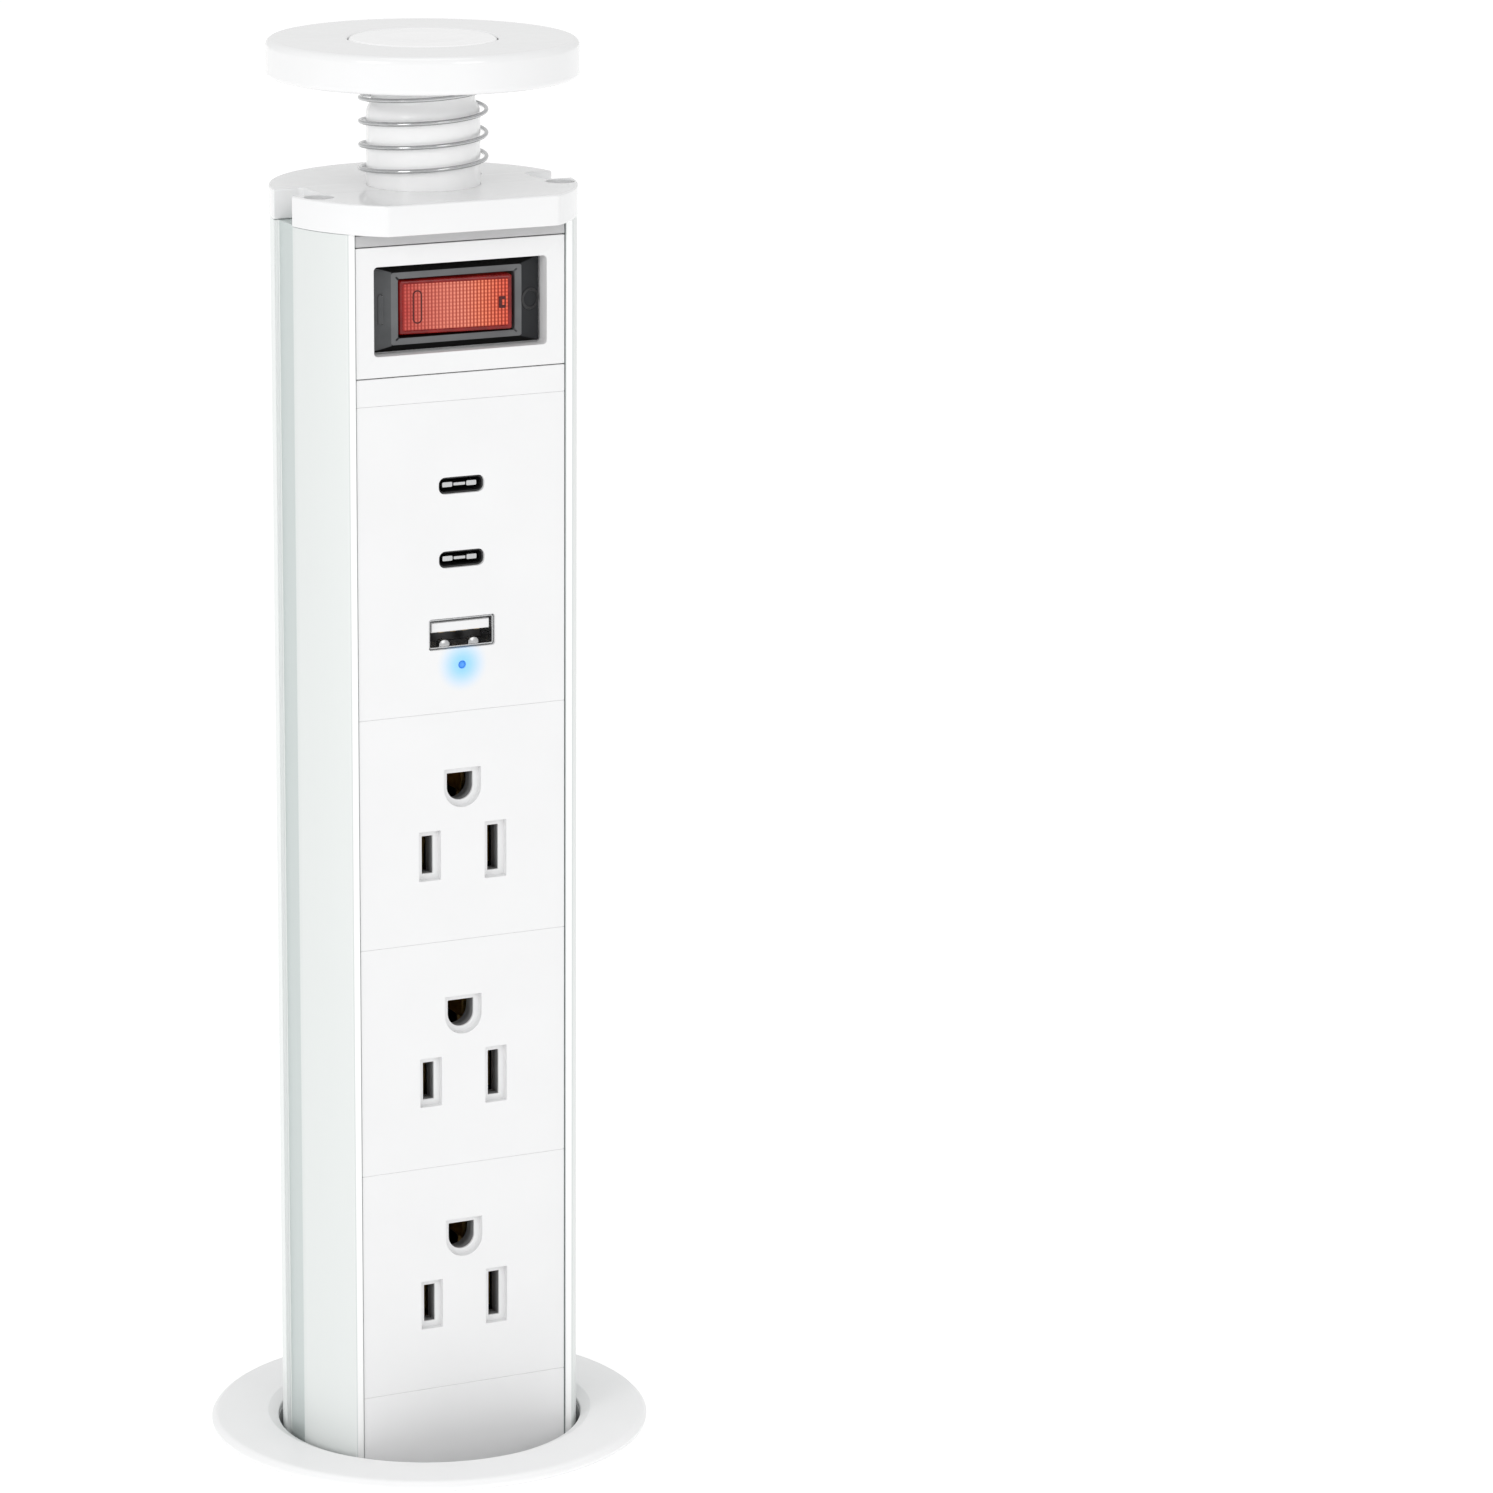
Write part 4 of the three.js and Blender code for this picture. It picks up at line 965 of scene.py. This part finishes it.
def on_slope(mesh, side):
    """Lays a mark drawn in XZ about the origin on the bezel's left or right slope."""
    outer, inner = BEZEL[0] / 2, BEZEL_FLAT[0] / 2
    rim = RECESS_FLOOR - 0.82
    lean = math.atan2(rim - BEZEL_FRONT, outer - inner)
    mesh.transform(Matrix.Rotation(side * lean, 4, "Z"))
    return moved(mesh, side * (outer + inner) / 2, (rim + BEZEL_FRONT) / 2, SWITCH_HEIGHT)


PIVOT = Vector((0, -11.0, SWITCH_HEIGHT))
ROCKER = (20.8, 9.6)
ROCKER_FACE = 3.45  # of the rocker's face in front of its pivot
TILT = math.radians(-5)


def tilted(mesh):
    """Turns a mesh drawn about the rocker's pivot to the rocker's resting tilt."""
    mesh.transform(Matrix.Translation(PIVOT) @ Matrix.Rotation(TILT, 4, "Z"))
    return mesh


def rocker_shell():
    at = lambda by, radius: rectangle(ROCKER[0] + 2 * by, ROCKER[1] + 2 * by, radius)
    return tilted(lofted([
        (at(0, 0.3), 0.4),
        (at(0, 0.35), -ROCKER_FACE + 0.45),
        (at(-0.08, 0.35), -ROCKER_FACE + 0.15),
        (at(-0.28, 0.3), -ROCKER_FACE),
        (at(-0.62, 0.25), -ROCKER_FACE),
        (at(-0.74, 0.2), -ROCKER_FACE + 0.12),
        (at(-0.76, 0.2), -ROCKER_FACE + 0.2),
    ]))


LENS = (ROCKER[0] - 1.52, ROCKER[1] - 1.52)
CELL = 0.64  # of the lens's prism grid


def rocker_lens():
    """The face of the rocker: rows of shallow prisms."""
    columns, rows = round(LENS[0] / CELL), round(LENS[1] / CELL)
    bm = bmesh.new()
    grid = []
    for j in range(2 * rows + 1):
        line = []
        for i in range(2 * columns + 1):
            x = LENS[0] * (i / (2 * columns) - 0.5)
            z = LENS[1] * (j / (2 * rows) - 0.5)
            peak = 0.07 if i % 2 and j % 2 else 0
            line.append(bm.verts.new((x, -ROCKER_FACE + 0.13 - peak, z)))
        grid.append(line)
    for a, b in zip(grid, grid[1:]):
        for k in range(len(a) - 1):
            bm.faces.new((a[k], a[k + 1], b[k + 1], b[k]))
    border = [e for e in bm.edges if e.is_boundary]
    for part in bmesh.ops.extrude_edge_only(bm, edges=border)["geom"]:
        if isinstance(part, bmesh.types.BMVert):
            part.co.y = -ROCKER_FACE + 0.4
    bmesh.ops.edgeloop_fill(bm, edges=[e for e in bm.edges if e.is_boundary])
    return tilted(mesh_of(bm))


def rocker_mark(outlines):
    """A raised ring of plastic on the lens."""
    return tilted(slab(outlines, -ROCKER_FACE + 0.03, -ROCKER_FACE + 0.3, edge=0.04, axis=Y))


red_lens(SWITCH_HEIGHT * MM, LENS[0] * MM, CELL * MM)
red_plastic("red_body", (0.10, 0.003, 0.003), (0.20, 0.008, 0.007), 0.3)
red_plastic("mark_red", (0.05, 0.002, 0.002), (0.08, 0.003, 0.003), 0.1)
# The bezel and the mark on its left slope take the bezel's painted light and shade.
bezel_painted_shade()
piece("switch_bezel", switch_bezel(), "black_plastic", "switch_housing", look="bezel_painted_shade")
stroke = slab([rectangle(0.9, 5.4, 0.45)], -0.2, 0.2, edge=0.06, axis=Y)
loop = slab([circle(1.9, steps=40), circle(1.4, steps=40)], -0.14, 0.2, edge=0.06, axis=Y)
piece("bezel_mark_on", on_slope(stroke, -1), "black_plastic", look="bezel_painted_shade")
piece("bezel_mark_off", on_slope(loop, 1), "black_plastic")
piece("rocker_shell", rocker_shell(), "red_lens", "rocker_button", body="rocker", look="red_body")
piece("rocker_lens", rocker_lens(), "red_lens", body="rocker", sharp=8)
pill = [rectangle(1.75, 5.9, 0.87, (-7.0, 0)), rectangle(1.25, 5.4, 0.62, (-7.0, 0))]
dot = [rectangle(1.3, 2.1, 0.2, (8.6, 0)), rectangle(0.5, 1.0, 0.1, (8.8, 0))]
piece("rocker_mark_line", rocker_mark(pill), "red_lens", body="rocker", look="mark_red")
piece("rocker_mark_end", rocker_mark(dot), "red_lens", body="rocker", look="mark_red")

# ---------------- USB ports
PORT_FRONT, PORT_BACK = span("usb_a_shell", Y)


def port_shell(size, height, radius, wall):
    """A folded steel tube with a rolled mouth."""
    at = lambda by: rectangle(size[0] + 2 * by, size[1] + 2 * by, max(0.1, radius + by), (0, height))
    half, front = wall / 2, PORT_FRONT
    return lofted([
        (at(0), PORT_BACK),
        (at(0), front + half),
        (at(-0.3 * half), front + 0.3 * half),
        (at(-half), front),
        (at(-1.7 * half), front + 0.3 * half),
        (at(-wall), front + half),
        (at(-wall), PORT_BACK),
    ], ends="joined")


def contact_row(height):
    """The four flat contacts on a USB-A port's tongue."""
    pitch, width, thick = 2.3, 1.1, 0.14
    front, back = PORT_FRONT + 0.7, PORT_BACK - 1
    strips = []
    for place in (-1.5, -0.5, 0.5, 1.5):
        centre = (place * pitch, height)
        strips.append(lofted([
            (rectangle(width, thick, 0, centre), back),
            (rectangle(width, thick, 0, centre), front + 0.15),
            (rectangle(width * 0.6, thick * 0.5, 0, centre), front),
        ]))
    return joined(*strips)


def spring_bumps(height):
    """The two leaf springs on the floor of a USB-A port, each with a rounded bump."""
    bump = [(-1.0, 0.0), (-0.95, 0.55), (-0.6, 0.95), (0, 1.1), (0.6, 0.95), (0.95, 0.55), (1.0, 0.0)]
    front = PORT_FRONT
    leaves = []
    for x in (-3.0, 2.6):
        outline = [(x + u, height + v) for u, v in bump]
        tip = [(x + u * 0.7, height + v * 0.5) for u, v in bump]
        leaves.append(lofted([(outline, front + 1.9), (outline, front + 0.5), (tip, front + 0.25)]))
    return joined(*leaves)


for i, height in enumerate(USB_C_HEIGHTS, 1):
    shell = port_shell(USB_C_SIZE, height, USB_C_CORNER, 0.3)
    # Painted shade: the steel shell is coloured as black plastic for its shadowed inside.
    piece(f"usb_c_shell_{i}_tube", shell, "connector_steel", f"usb_c_shell_{i}", look="black_plastic")
    front = PORT_FRONT + 0.7
    blade = lofted([
        (rectangle(6.4, 0.66, 0.2, (0, height)), PORT_BACK),
        (rectangle(6.4, 0.66, 0.2, (0, height)), front + 0.25),
        (rectangle(6.1, 0.4, 0.15, (0, height)), front),
    ])
    piece(f"usb_c_tongue_{i}_blade", blade, "black_plastic", f"usb_c_tongue_{i}")
    pads = [rectangle(1.9, 0.86, 0.2, (side * 2.3, height)) for side in (-1, 1)]
    pads.append(rectangle(2.2, 0.5, 0.1, (0, height)))
    ends = joined(*[lofted([(pad, front + 2.4), (pad, front - 0.15)]) for pad in pads])
    piece(f"usb_c_contacts_{i}", ends, "connector_steel")
shell = port_shell(USB_A_SIZE, USB_A_HEIGHT, 0.5, 0.35)
piece("usb_a_shell_tube", shell, "connector_steel", "usb_a_shell")
TONGUE_LOW, TONGUE_HIGH = span("usb_a_tongue", Z)
centre, thick = (0, (TONGUE_LOW + TONGUE_HIGH) / 2), TONGUE_HIGH - TONGUE_LOW
tongue = lofted([
    (rectangle(11.2, thick, 0.15, centre), PORT_BACK),
    (rectangle(11.2, thick, 0.15, centre), PORT_FRONT + 0.5),
    (rectangle(10.9, thick - 0.25, 0.1, centre), PORT_FRONT + 0.3),
])
piece("usb_a_tongue_block", tongue, "white_satin", "usb_a_tongue")
inside = rectangle(USB_A_SIZE[0] - 0.8, USB_A_SIZE[1] - 0.8, 0.2, (0, USB_A_HEIGHT))
a_back = slab([inside], PORT_BACK - 3, PORT_BACK - 0.2, axis=Y)
piece("usb_a_back", a_back, "black_plastic")
a_floor = USB_A_HEIGHT - USB_A_SIZE[1] / 2 + 0.35
piece("usb_a_springs", spring_bumps(a_floor - 0.02), "connector_steel")
piece("usb_a_contacts", contact_row(TONGUE_LOW - 0.06), "contact_brass")

LED_BACK = span("led_light_pipe", Y)[1]
glowing("led_blue", (0.06, 0.26, 0.72), (0.02, 0.14, 0.50), led_centre, LED_TIP * MM, 0.8)
ring = lambda radius: circle(radius, (0, LED_HEIGHT), 32)
pipe = [(ring(LED_RADIUS), LED_BACK), (ring(LED_RADIUS), PANEL_BACK + 0.1)]
pipe.append((ring(LED_TIP), PANEL_BACK + 0.08))
for part, depth in ((1, 0.25), (0.85, 0.12), (0.5, 0.04), (0.15, 0.02)):
    pipe.append((ring(LED_TIP * part), PANEL_FRONT + depth))
piece("led_pipe", lofted(pipe), "led_blue", "led_light_pipe")

# ---------------- bottom cap and cord gland
CAP_BOTTOM, CAP_TOP = span("bottom_cap", Z)


def bottom_cap():
    hole, rim = 6.6, TOWER_RADIUS
    profile = [(hole, CAP_BOTTOM, 0.3), (rim, CAP_BOTTOM, 1.2), (rim, CAP_TOP, 0.3), (hole, CAP_TOP, 0.3)]
    blank = turned(rounded(profile), 160)
    tools = []
    for side in (-1, 1):
        centre = (side * PORT["x"], PORT["y"])
        tools.append(slab([circle(SCREW_POCKET, centre)], CAP_BOTTOM - 1, CAP_BOTTOM + 2.4))
        tools.append(slab([circle(SCREW_HOLE, centre)], CAP_BOTTOM - 1, CAP_TOP + 1))
    return combined(blank, "DIFFERENCE", *tools)


GLAND_BOTTOM, GLAND_TOP = span("gland_body", Z)
DOME_BOTTOM, DOME_TOP = span("gland_dome_nut", Z)
GLAND_BORE, GLAND_THREAD, GLAND_FLANGE = 3.7, 6.3, 9.2


def gland_body():
    shoulder = CAP_BOTTOM - 0.3
    low, outer = GLAND_BOTTOM + 0.1, GLAND_THREAD - 0.3
    tip = [(outer, GLAND_TOP, 0.4), (GLAND_BORE, GLAND_TOP, 0.3)]
    stem = turned(rounded([(GLAND_BORE, low), (outer, low), *tip]), 48)
    hexagon = [(*polar(GLAND_FLANGE, 60 * i), 0.5) for i in range(6)]
    outlines = [rounded(hexagon, 3), circle(GLAND_BORE + 0.5)]
    collar = slab(outlines, GLAND_BOTTOM, shoulder, edge=0.3, steps=2)
    return combined(stem, "UNION", collar)


def gland_dome():
    """The cap nut: ribbed for the hand, closing in to the cord's mouth."""
    ribs = wavy(GLAND_FLANGE - 0.25, 0.22, waves=24, steps=8)
    skirt = slab([ribs, circle(6.0)], DOME_BOTTOM + 3.2, DOME_TOP, edge=0.25, steps=2)
    inner = [(6.0, DOME_BOTTOM + 3.6), (6.0, DOME_BOTTOM + 1.5), (4.1, DOME_BOTTOM + 1.5)]
    crown = turned(rounded([
        (4.1, DOME_BOTTOM, 0.5),
        (6.9, DOME_BOTTOM, 1.2),
        (GLAND_FLANGE - 0.6, DOME_BOTTOM + 2.6, 1.2),
        (GLAND_FLANGE - 0.6, DOME_BOTTOM + 3.6),
        *inner,
    ]), 96)
    return combined(skirt, "UNION", crown)


piece("cap", bottom_cap(), "white_satin", "bottom_cap")
for side, word in ((-1, "left"), (1, "right")):
    screw = pan_screw(side, CAP_BOTTOM + 0.7, -1)
    piece(f"cap_screw_{word}", screw, "spring_steel", f"bottom_cap_screw_{word}")
piece("gland_stem", gland_body(), "white_satin", "gland_body")
piece("gland_cap_nut", gland_dome(), "white_satin", "gland_dome_nut")

# ---------------- the pieces inside keep their CAD shape
lamp_centre = [(a + b) / 2 for a, b in zip(*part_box("indicator_lamp"))]
glowing("lamp_glass", (1.0, 0.5, 0.15), (0.9, 0.25, 0.05), lamp_centre, 4e-3, 1.2)
for subpart in frame["record"]["subparts"]:
    node = frame["nodes"][subpart["node"]]
    if node.hide_render:
        continue
    node.data.materials.clear()
    node.data.materials.append(MATERIALS[subpart["material_slot"]])

# ---------------- floor, light and camera
FLOOR_HEIGHT = -0.00005
DESK_HOLE = 0.030  # radius, in metres


def floor():
    """A pale desk top with faint unevenness and the round hole that the tower stands in."""
    bm = bmesh.new()
    rings = []
    for radius in (30, 1.5, 0.2, DESK_HOLE):
        rings.append([bm.verts.new((x, y, 0)) for x, y in circle(radius, steps=SIDES)])
    skin(bm, rings, "open")
    mesh = bpy.data.meshes.new("floor")
    bm.to_mesh(mesh)
    bm.free()
    nodes = Nodes("floor")
    cloud = nodes.ramp(nodes.noise(0.8, detail=2), (0.3, (0.93, 0.93, 0.93)), (0.7, (0.95, 0.95, 0.95)))
    nodes.paint(base_color=cloud, emission_color=cloud, emission_strength=0.27)
    nodes.paint(roughness=nodes.between(nodes.noise(0.05), 0.55, 0.65), specular_ior_level=0.2)
    mesh.materials.append(MATERIALS["floor"])
    obj = added(mesh, "floor")
    obj.location.z = FLOOR_HEIGHT


def soft_light(name, place, target, size, power):
    light = bpy.data.lights.new(name, "AREA")
    light.shape = "DISK"
    light.size = size
    light.energy = power
    obj = added(light, name)
    obj.location = place
    obj.rotation_euler = (Vector(target) - Vector(place)).to_track_quat("-Z", "Y").to_euler()


def pale_world(strength):
    world = bpy.data.worlds.new("studio")
    bpy.context.scene.world = world
    world.use_nodes = True
    background = world.node_tree.nodes["Background"]
    background.inputs["Color"].default_value = (1, 1, 1, 1)
    background.inputs["Strength"].default_value = strength


def camera():
    """Looks at the tower from its left front and above, with the tower left of the picture's middle."""
    distance, height = 1.0707, 0.3919
    around, down = math.radians(23.59), math.radians(13.91)
    aside, lean = math.radians(2.98), math.radians(-0.289)
    data = bpy.data.cameras.new("camera")
    data.sensor_width = 36
    data.lens = 148.3
    obj = added(data, "camera")
    aim = Euler((math.pi / 2 - down, 0, -around)).to_matrix()
    aim = aim @ Matrix.Rotation(lean, 3, "Z") @ Matrix.Rotation(-aside, 3, "Y")
    place = Vector((-distance * math.sin(around), -distance * math.cos(around), height))
    obj.matrix_world = Matrix.Translation(place) @ aim.to_4x4()
    bpy.context.scene.camera = obj


floor()
pale_world(0.82)
middle = (0, 0, 0.14)
soft_light("key", (-1.5, -0.85, 0.85), middle, 0.7, 6)
soft_light("front", (0.35, -1.75, 0.95), middle, 0.8, 3.2)
soft_light("top", (0, -0.1, 1.6), middle, 0.9, 2)
camera()
bpy.context.scene.view_settings.view_transform = "Standard"
